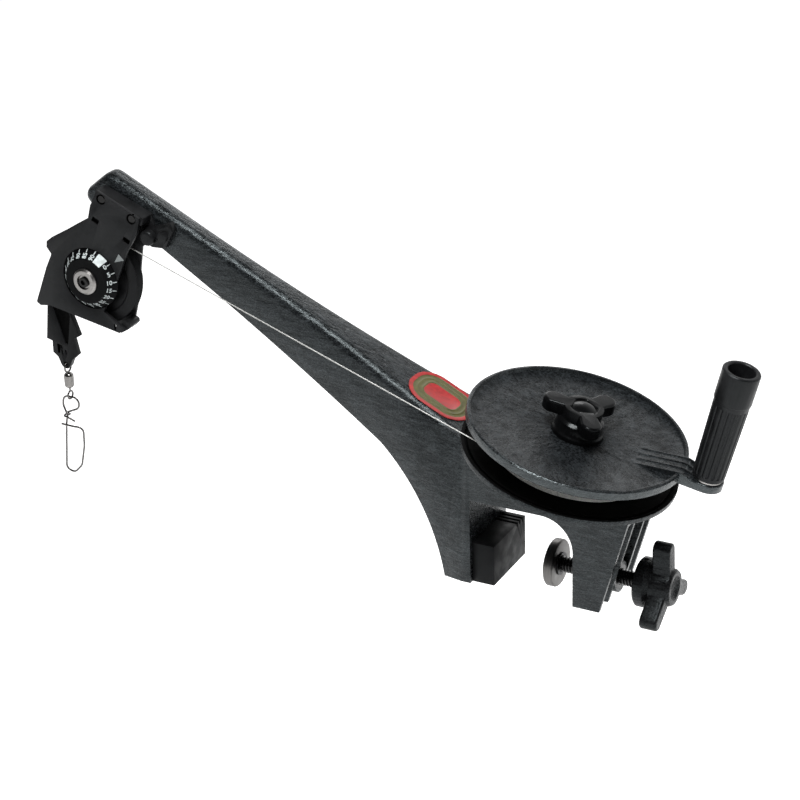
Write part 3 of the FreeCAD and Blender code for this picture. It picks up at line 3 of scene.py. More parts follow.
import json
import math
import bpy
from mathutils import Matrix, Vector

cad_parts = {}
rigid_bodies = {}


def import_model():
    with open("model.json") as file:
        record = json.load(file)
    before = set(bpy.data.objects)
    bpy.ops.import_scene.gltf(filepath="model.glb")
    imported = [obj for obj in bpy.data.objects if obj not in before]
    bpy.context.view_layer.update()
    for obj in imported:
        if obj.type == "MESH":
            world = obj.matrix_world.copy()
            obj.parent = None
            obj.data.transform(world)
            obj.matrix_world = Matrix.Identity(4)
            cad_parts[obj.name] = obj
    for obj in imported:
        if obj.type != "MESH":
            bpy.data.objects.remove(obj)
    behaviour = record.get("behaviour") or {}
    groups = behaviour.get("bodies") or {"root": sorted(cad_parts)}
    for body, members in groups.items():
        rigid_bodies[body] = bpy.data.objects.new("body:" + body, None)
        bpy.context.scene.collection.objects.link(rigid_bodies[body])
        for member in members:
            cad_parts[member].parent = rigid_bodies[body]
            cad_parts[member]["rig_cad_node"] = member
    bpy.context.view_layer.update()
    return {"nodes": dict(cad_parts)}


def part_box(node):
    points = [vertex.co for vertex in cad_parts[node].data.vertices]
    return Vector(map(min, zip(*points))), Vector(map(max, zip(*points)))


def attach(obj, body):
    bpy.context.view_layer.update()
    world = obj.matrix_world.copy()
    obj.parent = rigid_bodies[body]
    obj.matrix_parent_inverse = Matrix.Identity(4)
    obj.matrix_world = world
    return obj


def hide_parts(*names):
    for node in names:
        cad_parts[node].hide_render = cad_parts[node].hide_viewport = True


bl_info = {
    "name": "Manual downrigger",
    "version": (1, 0, 0),
    "blender": (4, 5, 0),
    "location": "View3D > Sidebar > Downrigger",
    "description": "Dresses a hand-cranked downrigger with mouldings, counter, cable and fittings",
    "category": "Object",
}

import bmesh
import bpy
from mathutils import Matrix, Vector

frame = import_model()

# Places in the frame, in metres
REEL_TILT = math.radians(14.5)
REEL_CENTRE = Vector((0.040, 0.0, 0.0665))
REEL_UP = Vector((math.sin(REEL_TILT), 0.0, math.cos(REEL_TILT)))
REEL_ALONG = Vector((math.cos(REEL_TILT), 0.0, -math.sin(REEL_TILT)))
SIDEWAYS = Vector((0.0, 1.0, 0.0))
AXLE = Vector((-0.3976, 0.0, 0.1321))
PLATE_FRONT = -0.0285
DIAL_FACE = -0.0355
DIAL_INNER = 0.0195
DIAL_OUTER = 0.0270
DIAL_DROP = 0.0084
CLAMP_AXIS_Z = -0.0595
BOOM_SLOPE = math.radians(26.565)

# Reel and pan: heights along the reel's axis and reaches from it. The gap's bounds and the lower
# flange's top mark where shade is painted.
LOWER_FLANGE_TOP = -0.0275
RIM_FLOOR = -0.014
RIM_REACH = 0.0865
GAP_HEIGHTS = (-0.045, -0.02)
GAP_REACH = 0.088
WINDING_REACH = 0.063
WINDING_TOP = 0.0090
WINDING_BOTTOM = 0.0270

# Near plate: screw pockets and slots, which are painted as shade, and the pointer's corners, across and
# above the axle
PLATE_POCKETS = ((0.0178, 0.0734), (0.0466, 0.0602), (0.0095, 0.0557), (0.0392, 0.0423))
POCKET_HALF = 0.0055
POINTER_TIPS = ((0.0312, 0.0268), (0.0264, 0.0188), (0.0361, 0.0219))

# Dial: angle of its first number, and reaches of numbers, ticks and the blank sector
FIRST_MARK = math.radians(37.3)
NUMBER_REACH = 0.0240
TICK_REACH = 0.0254
TICK_SIZE = (0.0036, 0.0007, 0.0001)
BLANK_REACH = (0.0202, 0.0262)

# Badge: width and rise of each step from its edge inwards, and the reach of its red middle
BADGE_STEPS = (
    (0.0036, 0.0), (0.0004, -0.0005), (0.0030, 0.0), (0.0002, 0.00032), (0.0012, 0.0),
    (0.0002, -0.00032), (0.0030, 0.0), (0.0002, 0.00032), (0.0012, 0.0), (0.0002, -0.00032),
)
BADGE_MIDDLE = 0.006

# Snap wire: how far each side is drawn out past the solid
SNAP_SWELL = 0.00012

# Stage: floor height and its lift to white, and each lamp's name, place, target, width and power
FLOOR_HEIGHT = -0.24
FLOOR_LIFT = 0.76
LAMPS = (
    ("overhead_lamp", (0.05, -0.48, 1.55), (-0.15, 0.0, 0.08), 0.5, 28.0),
    ("front_lamp", (-0.9, -1.9, 0.9), (-0.1, 0.0, 0.05), 0.7, 3.0),
    ("side_lamp", (1.8, -0.9, 0.8), (0.0, 0.0, 0.0), 0.7, 4.0),
    ("back_lamp", (-0.6, 1.5, 0.9), (-0.1, 0.0, 0.06), 0.5, 3.0),
)
LAMPS_IN_REFLECTIONS = ("overhead_lamp", "back_lamp")

# The cable's route from the drum over the pulley to the terminator
CABLE_ROUTE = (
    (0.09789, -0.00686, 0.035), (0.09611, -0.02399, 0.03546), (0.07645, -0.05182, 0.04055),
    (0.04594, -0.06577, 0.04844), (0.01287, -0.0621, 0.0574), (-0.36946, -0.01949, 0.1657),
    (-0.37515, -0.018, 0.16731), (-0.39893, -0.018, 0.17405), (-0.42291, -0.018, 0.16558),
    (-0.4376, -0.018, 0.14482), (-0.4376, -0.018, 0.11938), (-0.4376, -0.018, 0.098),
)


class DownriggerSizes(bpy.types.PropertyGroup):
    """Sizes of the details that the dressing adds to the solids."""

    moulding_edge: bpy.props.FloatProperty(
        name="Moulding edge", description="Rounding of the mouldings' outer edges",
        default=0.0011, min=0.0, unit="LENGTH")
    small_edge: bpy.props.FloatProperty(
        name="Small edge", description="Rounding of the edges of small plates and knobs",
        default=0.0005, min=0.0, unit="LENGTH")
    thread_pitch: bpy.props.FloatProperty(
        name="Thread pitch", description="Distance between the clamp screw's thread crests",
        default=0.0026, min=0.001, unit="LENGTH")
    thread_depth: bpy.props.FloatProperty(
        name="Thread depth", description="Depth of the clamp screw's thread",
        default=0.0013, min=0.0002, unit="LENGTH")
    cable_diameter: bpy.props.FloatProperty(
        name="Cable diameter", description="Diameter of the wire cable",
        default=0.001, min=0.0003, unit="LENGTH")
    winding_turns: bpy.props.IntProperty(
        name="Winding turns", description="Turns of cable that lie side by side on the drum",
        default=17, min=12)
    number_height: bpy.props.FloatProperty(
        name="Number height", description="Height of the dial's numbers",
        default=0.0041, min=0.001, unit="LENGTH")
    dial_marks: bpy.props.IntProperty(
        name="Dial marks", description="Number of marks round the dial, the blank one among them",
        default=20, min=4)


class DownriggerColours(bpy.types.PropertyGroup):
    """Colours of the finishes."""

    moulding: bpy.props.FloatVectorProperty(
        name="Moulding", description="Glass-filled moulding of the boom and reel",
        subtype="COLOR", size=3, min=0.0, max=1.0, default=(0.0110, 0.0126, 0.0138))
    plate: bpy.props.FloatVectorProperty(
        name="Plate", description="Smooth moulding of the counter's plate and housing",
        subtype="COLOR", size=3, min=0.0, max=1.0, default=(0.0085, 0.0086, 0.0092))
    knob: bpy.props.FloatVectorProperty(
        name="Knob", description="Half-gloss plastic of the clutch knob",
        subtype="COLOR", size=3, min=0.0, max=1.0, default=(0.0032, 0.0033, 0.0036))
    grip: bpy.props.FloatVectorProperty(
        name="Grip", description="Satin plastic of the crank's grip",
        subtype="COLOR", size=3, min=0.0, max=1.0, default=(0.0070, 0.0072, 0.0078))
    rubber: bpy.props.FloatVectorProperty(
        name="Rubber", description="Rubber of the jaw's pad",
        subtype="COLOR", size=3, min=0.0, max=1.0, default=(0.0036, 0.0036, 0.0040))
    steel: bpy.props.FloatVectorProperty(
        name="Steel", description="Bare steel of the wire fittings and fasteners",
        subtype="COLOR", size=3, min=0.0, max=1.0, default=(0.34, 0.33, 0.32))
    print_white: bpy.props.FloatVectorProperty(
        name="Print", description="Pale paint of the dial's marks and the pointer",
        subtype="COLOR", size=3, min=0.0, max=1.0, default=(0.62, 0.68, 0.68))
    badge_red: bpy.props.FloatVectorProperty(
        name="Badge border", description="Red enamel of the badge's border",
        subtype="COLOR", size=3, min=0.0, max=1.0, default=(0.40, 0.030, 0.030))
    badge_olive: bpy.props.FloatVectorProperty(
        name="Badge field", description="Olive enamel of the badge's field",
        subtype="COLOR", size=3, min=0.0, max=1.0, default=(0.105, 0.100, 0.035))


def sizes():
    return bpy.context.scene.downrigger_sizes


def colours():
    return bpy.context.scene.downrigger_colours


# Work in the scene, as by hand


def deselect_all():
    for thing in bpy.context.view_layer.objects:
        thing.select_set(False)


def pick(*things):
    """Select these objects alone, the first of them active."""
    deselect_all()
    for thing in things:
        thing.select_set(True)
    bpy.context.view_layer.objects.active = things[0]


def edit_mesh(thing):
    pick(thing)
    bpy.ops.object.mode_set(mode="EDIT")


def leave_edit():
    bpy.ops.object.mode_set(mode="OBJECT")


def choose_faces(thing, wanted):
    """In edit mode, select the faces whose middle and normal pass the test, and no others."""
    bpy.ops.mesh.select_mode(type="FACE")
    bpy.ops.mesh.select_all(action="DESELECT")
    mesh = bmesh.from_edit_mesh(thing.data)
    mesh.normal_update()
    for face in mesh.faces:
        if wanted(face.calc_center_median(), face.normal):
            face.select_set(True)
    bmesh.update_edit_mesh(thing.data)


def apply_modifiers(thing):
    pick(thing)
    for modifier in list(thing.modifiers):
        bpy.ops.object.modifier_apply(modifier=modifier.name)


def settle(thing):
    """Put the object's place, turn and scale into its mesh."""
    pick(thing)
    bpy.ops.object.transform_apply(location=True, rotation=True, scale=True)


def merged_copy(node, name):
    """A copy of a CAD node with its loose triangles merged and its flats made whole."""
    source = frame["nodes"][node]
    pick(source)
    bpy.ops.object.duplicate()
    piece = bpy.context.view_layer.objects.active
    piece.name = name
    del piece["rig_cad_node"]
    edit_mesh(piece)
    bpy.ops.mesh.select_all(action="SELECT")
    bpy.ops.mesh.remove_doubles(threshold=0.00002)
    bpy.ops.mesh.dissolve_limited(angle_limit=math.radians(0.6))
    leave_edit()
    return piece


def round_edges(piece, width, sharpest=35.0, segments=2):
    """Round a piece's sharp edges and shade it smooth between them."""
    bevel = piece.modifiers.new("edges", "BEVEL")
    bevel.width = width
    bevel.segments = segments
    bevel.limit_method = "ANGLE"
    bevel.angle_limit = math.radians(sharpest)
    bevel.miter_outer = "MITER_ARC"
    bevel.use_clamp_overlap = True
    apply_modifiers(piece)
    pick(piece)
    bpy.ops.object.shade_smooth_by_angle(angle=math.radians(38))


def dress(piece, body, slot, material, *nodes):
    """Give a piece its material and body, and hide the nodes it stands for; the slot is not used."""
    piece.data.materials.clear()
    piece.data.materials.append(material)
    piece.data.name = piece.name
    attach(piece, body)
    if nodes:
        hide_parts(*nodes)


def inlay(piece, material, wanted):
    """Give the faces whose middle and normal pass the test a second material."""
    piece.data.materials.append(material)
    number = len(piece.data.materials) - 1
    for face in piece.data.polygons:
        if wanted(face.center, face.normal):
            face.material_index = number


def paint_node(node, material):
    """Give its material to a CAD node that is shown as it is."""
    thing = frame["nodes"][node]
    if thing.data.materials:
        for place in thing.material_slots:
            place.material = material
    else:
        thing.data.materials.append(material)


# Finishes


def new_finish(name):
    """A new material with nodes, returned with its node tree and shader."""
    material = bpy.data.materials.new(name)
    material.use_nodes = True
    tree = material.node_tree
    shader = tree.nodes["Principled BSDF"]
    return material, tree, shader


def add_node(tree, kind, **settings):
    node = tree.nodes.new(kind)
    for key, value in settings.items():
        if key in node.inputs:
            node.inputs[key].default_value = value
        else:
            setattr(node, key, value)
    return node


def object_place(tree):
    return add_node(tree, "ShaderNodeTexCoord").outputs["Object"]


def grain(tree, place, scale, detail=4.0, roughness=0.55, distortion=0.0):
    """Noise at a scale in cells to the metre."""
    node = add_node(tree, "ShaderNodeTexNoise", Scale=scale, Detail=detail,
                    Roughness=roughness, Distortion=distortion)
    tree.links.new(place, node.inputs["Vector"])
    return node.outputs["Fac"]


def ramp(tree, amount, stops):
    """A colour ramp through (position, grey or colour) stops."""
    node = add_node(tree, "ShaderNodeValToRGB")
    band = node.color_ramp
    while len(band.elements) < len(stops):
        band.elements.new(0.5)
    for element, (position, colour) in zip(band.elements, stops):
        element.position = position
        if isinstance(colour, (int, float)):
            colour = (colour, colour, colour)
        element.color = (*colour, 1.0)
    tree.links.new(amount, node.inputs["Fac"])
    return node.outputs["Color"]


def blend(tree, amount, first, second, kind="MIX"):
    """Mix two colours or sockets by an amount or a socket."""
    node = add_node(tree, "ShaderNodeMix", data_type="RGBA", blend_type=kind)
    for socket, value in ((node.inputs[0], amount), (node.inputs[6], first), (node.inputs[7], second)):
        if isinstance(value, bpy.types.NodeSocket):
            tree.links.new(value, socket)
        elif isinstance(value, (int, float)):
            socket.default_value = value
        else:
            socket.default_value = (*value, 1.0)
    return node.outputs[2]


def bump(tree, shader, height, strength, distance, after=None):
    node = add_node(tree, "ShaderNodeBump", Strength=strength, Distance=distance)
    tree.links.new(height, node.inputs["Height"])
    if after is not None:
        tree.links.new(after, node.inputs["Normal"])
    tree.links.new(node.outputs["Normal"], shader.inputs["Normal"])
    return node.outputs["Normal"]


def scaled(colour, factor):
    return tuple(min(1.0, value * factor) for value in colour)


def flow_place(tree, place, turn, scale):
    """The place turned about Y and squeezed, for marks that run with the moulding's flow."""
    mapping = add_node(tree, "ShaderNodeMapping")
    mapping.inputs["Rotation"].default_value = (0.0, turn, 0.0)
    mapping.inputs["Scale"].default_value = scale
    tree.links.new(place, mapping.inputs["Vector"])
    return mapping.outputs["Vector"]


def mottle(tree, shader, patches, flow, fine, colour, blotch, gloss):
    """Moulded skin: soft patches, short scuffs along the flow, and the same relief in its sheen."""
    joined = blend(tree, 0.6, patches, flow)
    tone = ramp(tree, joined, ((0.38, scaled(colour, 1.0 - 0.50 * blotch)),
                               (0.46, scaled(colour, 1.0 - 0.20 * blotch)),
                               (0.54, scaled(colour, 1.0 + 0.15 * blotch)),
                               (0.64, scaled(colour, 1.0 + 0.9 * blotch))))
    speck = ramp(tree, fine, ((0.36, 1.0 - 0.6 * blotch), (0.50, 1.0), (0.64, 1.0 + 1.1 * blotch)))
    tone = blend(tree, 1.0, tone, speck, "MULTIPLY")
    tree.links.new(tone, shader.inputs["Base Color"])
    wear = blend(tree, 0.5, ramp(tree, joined, ((0.4, 0.20), (0.62, 0.38))),
                 ramp(tree, fine, ((0.4, 0.18), (0.6, 0.42))))
    tree.links.new(wear, shader.inputs["Roughness"])
    sheen = blend(tree, 1.0, ramp(tree, joined, ((0.40, gloss * 0.80), (0.60, gloss * 1.18))),
                  ramp(tree, fine, ((0.40, 0.82), (0.60, 1.0))), "MULTIPLY")
    shader.inputs["Specular Tint"].default_value = (0.86, 0.97, 1.0, 1.0)
    first = bump(tree, shader, joined, 0.8, 0.0016)
    bump(tree, shader, fine, 0.5, 0.00030, first)
    return sheen


def cast_finish(name, colour, blotch=1.0, turn=0.0, gloss=0.31):
    """Glass-filled moulding: mottled skin with smears along the flow and fine grain."""
    material, tree, shader = new_finish(name)
    place = object_place(tree)
    patches = grain(tree, place, 42.0, 5.0, 0.6, 0.3)
    flow = grain(tree, flow_place(tree, place, turn, (0.22, 1.0, 1.0)), 260.0, 4.0, 0.62, 0.3)
    fine = grain(tree, flow_place(tree, place, turn, (0.6, 1.0, 1.0)), 900.0, 3.0, 0.6)
    sheen = mottle(tree, shader, patches, flow, fine, colour, blotch, gloss)
    tree.links.new(sheen, shader.inputs["Specular IOR Level"])
    return material


def radial_finish(name, colour):
    """The reel's face: streaks that run out from the shaft over the mottled moulding, and a painted
    shade of the knob dimming the sheen round the shaft.
    """
    material, tree, shader = new_finish(name)
    place = object_place(tree)
    centred = add_node(tree, "ShaderNodeMapping", vector_type="TEXTURE")
    centred.inputs["Location"].default_value = REEL_CENTRE
    centred.inputs["Rotation"].default_value = (0.0, REEL_TILT, 0.0)
    tree.links.new(place, centred.inputs["Vector"])
    flat = add_node(tree, "ShaderNodeVectorMath", operation="MULTIPLY")
    flat.inputs[1].default_value = (1.0, 1.0, 0.0)
    tree.links.new(centred.outputs["Vector"], flat.inputs[0])
    reach = add_node(tree, "ShaderNodeVectorMath", operation="LENGTH")
    tree.links.new(flat.outputs["Vector"], reach.inputs[0])
    outward = add_node(tree, "ShaderNodeVectorMath", operation="NORMALIZE")
    tree.links.new(flat.outputs["Vector"], outward.inputs[0])
    spread = add_node(tree, "ShaderNodeCombineXYZ")
    longer = add_node(tree, "ShaderNodeMath", operation="MULTIPLY")
    longer.inputs[1].default_value = 9.0
    tree.links.new(reach.outputs["Value"], longer.inputs[0])
    tree.links.new(longer.outputs["Value"], spread.inputs["Z"])
    joined = add_node(tree, "ShaderNodeVectorMath", operation="ADD")
    tree.links.new(outward.outputs["Vector"], joined.inputs[0])
    tree.links.new(spread.outputs["Vector"], joined.inputs[1])
    streak = grain(tree, joined.outputs["Vector"], 9.0, 7.0, 0.72, 0.3)
    patches = grain(tree, place, 52.0, 6.0, 0.68, 0.6)
    fine = grain(tree, place, 560.0, 4.0, 0.62)
    sheen = mottle(tree, shader, patches, streak, fine, colour, 1.0, 0.145)
    # Painted shade and reflection of the knob: the sheen is dimmed close round the shaft and lifted in
    # a band further out.
    knob_shade_ring = ramp(tree, reach.outputs["Value"],
                ((0.020, 0.15), (0.042, 1.0), (0.060, 1.3), (0.086, 1.0)))
    rays = ramp(tree, streak, ((0.38, 0.55), (0.60, 1.25)))
    sheen = blend(tree, 1.0, blend(tree, 1.0, sheen, knob_shade_ring, "MULTIPLY"), rays, "MULTIPLY")
    tree.links.new(sheen, shader.inputs["Specular IOR Level"])
    return material


def smooth_finish(name, colour, low=0.34, high=0.46, specular=0.25, bite=0.12):
    """Moulded plastic with a fine skin and slight unevenness in its sheen."""
    material, tree, shader = new_finish(name)
    place = object_place(tree)
    cloud = grain(tree, place, 90.0, 3.0, 0.5)
    fine = grain(tree, place, 900.0, 2.0, 0.5)
    tone = ramp(tree, cloud, ((0.38, scaled(colour, 0.72)), (0.62, scaled(colour, 1.4))))
    tree.links.new(tone, shader.inputs["Base Color"])
    tree.links.new(ramp(tree, cloud, ((0.38, low), (0.62, high))), shader.inputs["Roughness"])
    shader.inputs["Specular IOR Level"].default_value = specular
    shader.inputs["Specular Tint"].default_value = (0.92, 0.98, 1.0, 1.0)
    bump(tree, shader, fine, bite, 0.00015)
    return material


def metal_finish(name, colour, low=0.22, high=0.38, along=(1.0, 1.0, 1.0)):
    """Metal with fine drawn lines, stretched along one axis by the given scales."""
    material, tree, shader = new_finish(name)
    place = object_place(tree)
    stretch = add_node(tree, "ShaderNodeMapping")
    stretch.inputs["Scale"].default_value = along
    tree.links.new(place, stretch.inputs["Vector"])
    lines = grain(tree, stretch.outputs["Vector"], 700.0, 3.0, 0.55)
    cloud = grain(tree, place, 60.0, 3.0, 0.5)
    tone = ramp(tree, lines, ((0.3, scaled(colour, 0.78)), (0.7, scaled(colour, 1.15))))
    tree.links.new(tone, shader.inputs["Base Color"])
    shader.inputs["Metallic"].default_value = 1.0
    tree.links.new(blend(tree, 0.5, ramp(tree, lines, ((0.3, low), (0.7, high))),
                         ramp(tree, cloud, ((0.3, low), (0.7, high)))), shader.inputs["Roughness"])
    bump(tree, shader, lines, 0.12, 0.0001)
    return material


def painted_finish(name, colour, roughness=0.4, specular=0.4):
    """Paint or enamel with a slight pebble and a worn sheen."""
    material, tree, shader = new_finish(name)
    place = object_place(tree)
    cloud = grain(tree, place, 240.0, 3.0, 0.55)
    tone = ramp(tree, cloud, ((0.3, scaled(colour, 0.72)), (0.68, scaled(colour, 1.12))))
    tree.links.new(tone, shader.inputs["Base Color"])
    tree.links.new(ramp(tree, cloud, ((0.3, roughness - 0.08), (0.7, roughness + 0.1))),
                   shader.inputs["Roughness"])
    shader.inputs["Specular IOR Level"].default_value = specular
    bump(tree, shader, cloud, 0.2, 0.00015)
    return material


def strand_finish(name, colour):
    """Stranded wire: fine bright strands that lie askew to the cable."""
    material, tree, shader = new_finish(name)
    place = object_place(tree)
    askew = flow_place(tree, place, math.radians(35), (0.35, 1.0, 1.0))
    lay = grain(tree, askew, 2600.0, 2.0, 0.5)
    tone = ramp(tree, lay, ((0.4, scaled(colour, 0.72)), (0.6, colour)))
    tree.links.new(tone, shader.inputs["Base Color"])
    shader.inputs["Metallic"].default_value = 0.35
    tree.links.new(ramp(tree, lay, ((0.4, 0.42), (0.6, 0.3))), shader.inputs["Roughness"])
    bump(tree, shader, lay, 0.2, 0.00006)
    return material


finishes = {}


def finish(name):
    """Each finish is made once, when a piece first asks for it."""
    if name not in finishes:
        shade = colours()
        recipes = {
            "boom_moulding": lambda: cast_finish("boom_moulding", shade.moulding, 1.0, BOOM_SLOPE),
            "rim_moulding": lambda: cast_finish("rim_moulding", shade.moulding, 0.5, 0.0, 0.75),
            # Painted light: the turns on the drum take a paler copy of the cable's wire, to lift them
            # out of the dish's shade.
            "painted_lit_winding_wire": lambda: strand_finish("painted_lit_winding_wire", (0.90, 0.90, 0.87)),
            "reel_moulding": lambda: radial_finish("reel_moulding", shade.moulding),
            "counter_moulding": lambda: smooth_finish("counter_moulding", shade.plate,
                                                      0.34, 0.50, 0.15),
            "knob_plastic": lambda: smooth_finish("knob_plastic", shade.knob, 0.20, 0.28, 0.13, 0.05),
            "clamp_knob_plastic": lambda: cast_finish("clamp_knob_plastic", shade.plate, 0.4, 0.0, 0.2),
            "grip_plastic": lambda: smooth_finish("grip_plastic", shade.grip, 0.34, 0.46, 0.22),
            "pad_rubber": lambda: smooth_finish("pad_rubber", shade.rubber, 0.5, 0.65, 0.16, 0.3),
            "dial_plastic": lambda: smooth_finish("dial_plastic", scaled(shade.plate, 0.4),
                                                  0.4, 0.5, 0.05),
            "terminator_plastic": lambda: smooth_finish("terminator_plastic", scaled(shade.plate, 0.9),
                                                        0.32, 0.45, 0.09),
            # Near-black finish that paints shade where only shade falls: the pan under the reel, the
            # lower flange, pockets and grooves.
            "painted_shade_black": lambda: painted_finish("painted_shade_black", (0.0012, 0.0012, 0.0012), 0.7, 0.05),
            "wire_steel": lambda: metal_finish("wire_steel", shade.steel, 0.2, 0.34),
            "snap_steel": lambda: metal_finish("snap_steel", scaled(shade.steel, 0.36), 0.2, 0.34),
            "foot_steel": lambda: metal_finish("foot_steel", scaled(shade.steel, 0.36), 0.3, 0.45,
                                               (1.0, 0.08, 0.08)),
            "washer_steel": lambda: metal_finish("washer_steel", scaled(shade.steel, 0.8), 0.28, 0.4),
            "dark_steel": lambda: metal_finish("dark_steel", (0.030, 0.030, 0.032), 0.32, 0.48),
            "thread_black": lambda: painted_finish("thread_black", (0.006, 0.006, 0.0065), 0.25, 0.3),
            "socket_black": lambda: painted_finish("socket_black", (0.003, 0.003, 0.003), 0.22, 0.25),
            "bronze": lambda: metal_finish("bronze", (0.45, 0.30, 0.12), 0.3, 0.45),
            "brake_fibre": lambda: painted_finish("brake_fibre", (0.06, 0.045, 0.03), 0.8),
            "nylon": lambda: smooth_finish("nylon", (0.0060, 0.0060, 0.0064), 0.35, 0.5, 0.12),
            "cable_wire": lambda: strand_finish("cable_wire", (0.62, 0.62, 0.60)),
            "mark_paint": lambda: painted_finish("mark_paint", shade.print_white, 0.5),
            "pointer_paint": lambda: painted_finish("pointer_paint",
                                                    scaled(shade.print_white, 0.42), 0.5),
            "badge_border": lambda: painted_finish("badge_border", shade.badge_red, 0.42),
            "badge_field": lambda: painted_finish("badge_field", shade.badge_olive, 0.5),
            "swivel_steel": lambda: metal_finish("swivel_steel", scaled(shade.steel, 0.6), 0.16, 0.3),
        }
        finishes[name] = recipes[name]()
    return finishes[name]


# Pieces


def softened(node, name, body, slot, look, width, sharpest=35.0):
    """A CAD node's shape with its moulded edges rounded, in place of the node."""
    piece = merged_copy(node, name)
    round_edges(piece, width, sharpest)
    dress(piece, body, slot, finish(look), node)
    return piece


class DOWNRIGGER_OT_frame(bpy.types.Operator):
    """Boom, pan and clamp legs in one moulding, with its edges rounded"""
    bl_idname = "downrigger.frame"
    bl_label = "Boom and clamp frame"

    def execute(self, context):
        moulding = softened("frame", "boom_frame", "frame", "moulding", "boom_moulding",
                            sizes().moulding_edge)
        # The pan's floor under the reel's dish is painted near-black as shade.
        inlay(moulding, finish("painted_shade_black"), lambda middle, normal:
              normal.dot(REEL_UP) > 0.9 and self.under_reel(middle))
        return {"FINISHED"}

    def under_reel(self, middle):
        """True for places that the reel's dish hides from above, where the pan is painted near-black as
        shade.
        """
        out = middle - REEL_CENTRE
        height = out.dot(REEL_UP)
        lowest, highest = GAP_HEIGHTS
        return lowest < height < highest and (out - REEL_UP * height).length < GAP_REACH


class DOWNRIGGER_OT_reel(bpy.types.Operator):
    """Reel with its dished flange, drum, lower flange and crank arm"""
    bl_idname = "downrigger.reel"
    bl_label = "Reel"

    def execute(self, context):
        moulding = softened("reel", "reel_moulding", "reel", "moulding", "reel_moulding",
                            sizes().small_edge * 1.4)
        # The lower flange under the dish is painted near-black as shade.
        inlay(moulding, finish("painted_shade_black"), lambda middle, normal:
              (middle - REEL_CENTRE).dot(REEL_UP) < LOWER_FLANGE_TOP)
        inlay(moulding, finish("rim_moulding"), lambda middle, normal:
              (middle - REEL_CENTRE).dot(REEL_UP) > RIM_FLOOR and abs(normal.dot(REEL_UP)) < 0.8
              and (middle - REEL_CENTRE).cross(REEL_UP).length > RIM_REACH)
        return {"FINISHED"}


class DOWNRIGGER_OT_head(bpy.types.Operator):
    """Far side of the head and the counter's near plate"""
    bl_idname = "downrigger.head"
    bl_label = "Head plates"

    def execute(self, context):
        softened("head_housing", "head_far_plate", "frame", "moulding", "counter_moulding",
                 sizes().small_edge)
        plate = softened("counter_plate", "head_near_plate", "frame", "moulding", "counter_moulding",
                         sizes().small_edge)
        # The plate's screw pockets and slots are painted near-black as shade.
        inlay(plate, finish("painted_shade_black"), self.in_pocket)
        return {"FINISHED"}

    def in_pocket(self, middle, normal):
        """True for the walls and floors of the plate's screw pockets and slots, painted near-black as
        shade.
        """
        across = middle.x - AXLE.x
        above = middle.z - AXLE.z
        return middle.y > PLATE_FRONT + 0.0004 and any(
            abs(across - x) < POCKET_HALF and abs(above - z) < POCKET_HALF
            for x, z in PLATE_POCKETS)


def on_dial(angle, reach, lift=0.0001):
    """A point just over the dial's sloping edge: angle from +X up, and metres out from its axle."""
    fall = (reach - DIAL_INNER) * DIAL_DROP / (DIAL_OUTER - DIAL_INNER)
    return Vector((AXLE.x + reach * math.cos(angle), DIAL_FACE + fall - lift,
                   AXLE.z + reach * math.sin(angle)))


def cone_turn(angle, tip, seat):
    """Stand a flat mark on the dial's sloping edge, its own X pointing out from the axle."""
    outward = Vector((math.cos(angle), 0.0, math.sin(angle)))
    facing = Vector((0.0, -1.0, 0.0))
    normal = (facing * math.cos(tip) + outward * math.sin(tip)).normalized()
    along = (outward * math.cos(tip) - facing * math.sin(tip)).normalized()
    upward = normal.cross(along)
    turn = Matrix((along, upward, normal)).transposed().to_4x4()
    turn.translation = seat
    return turn


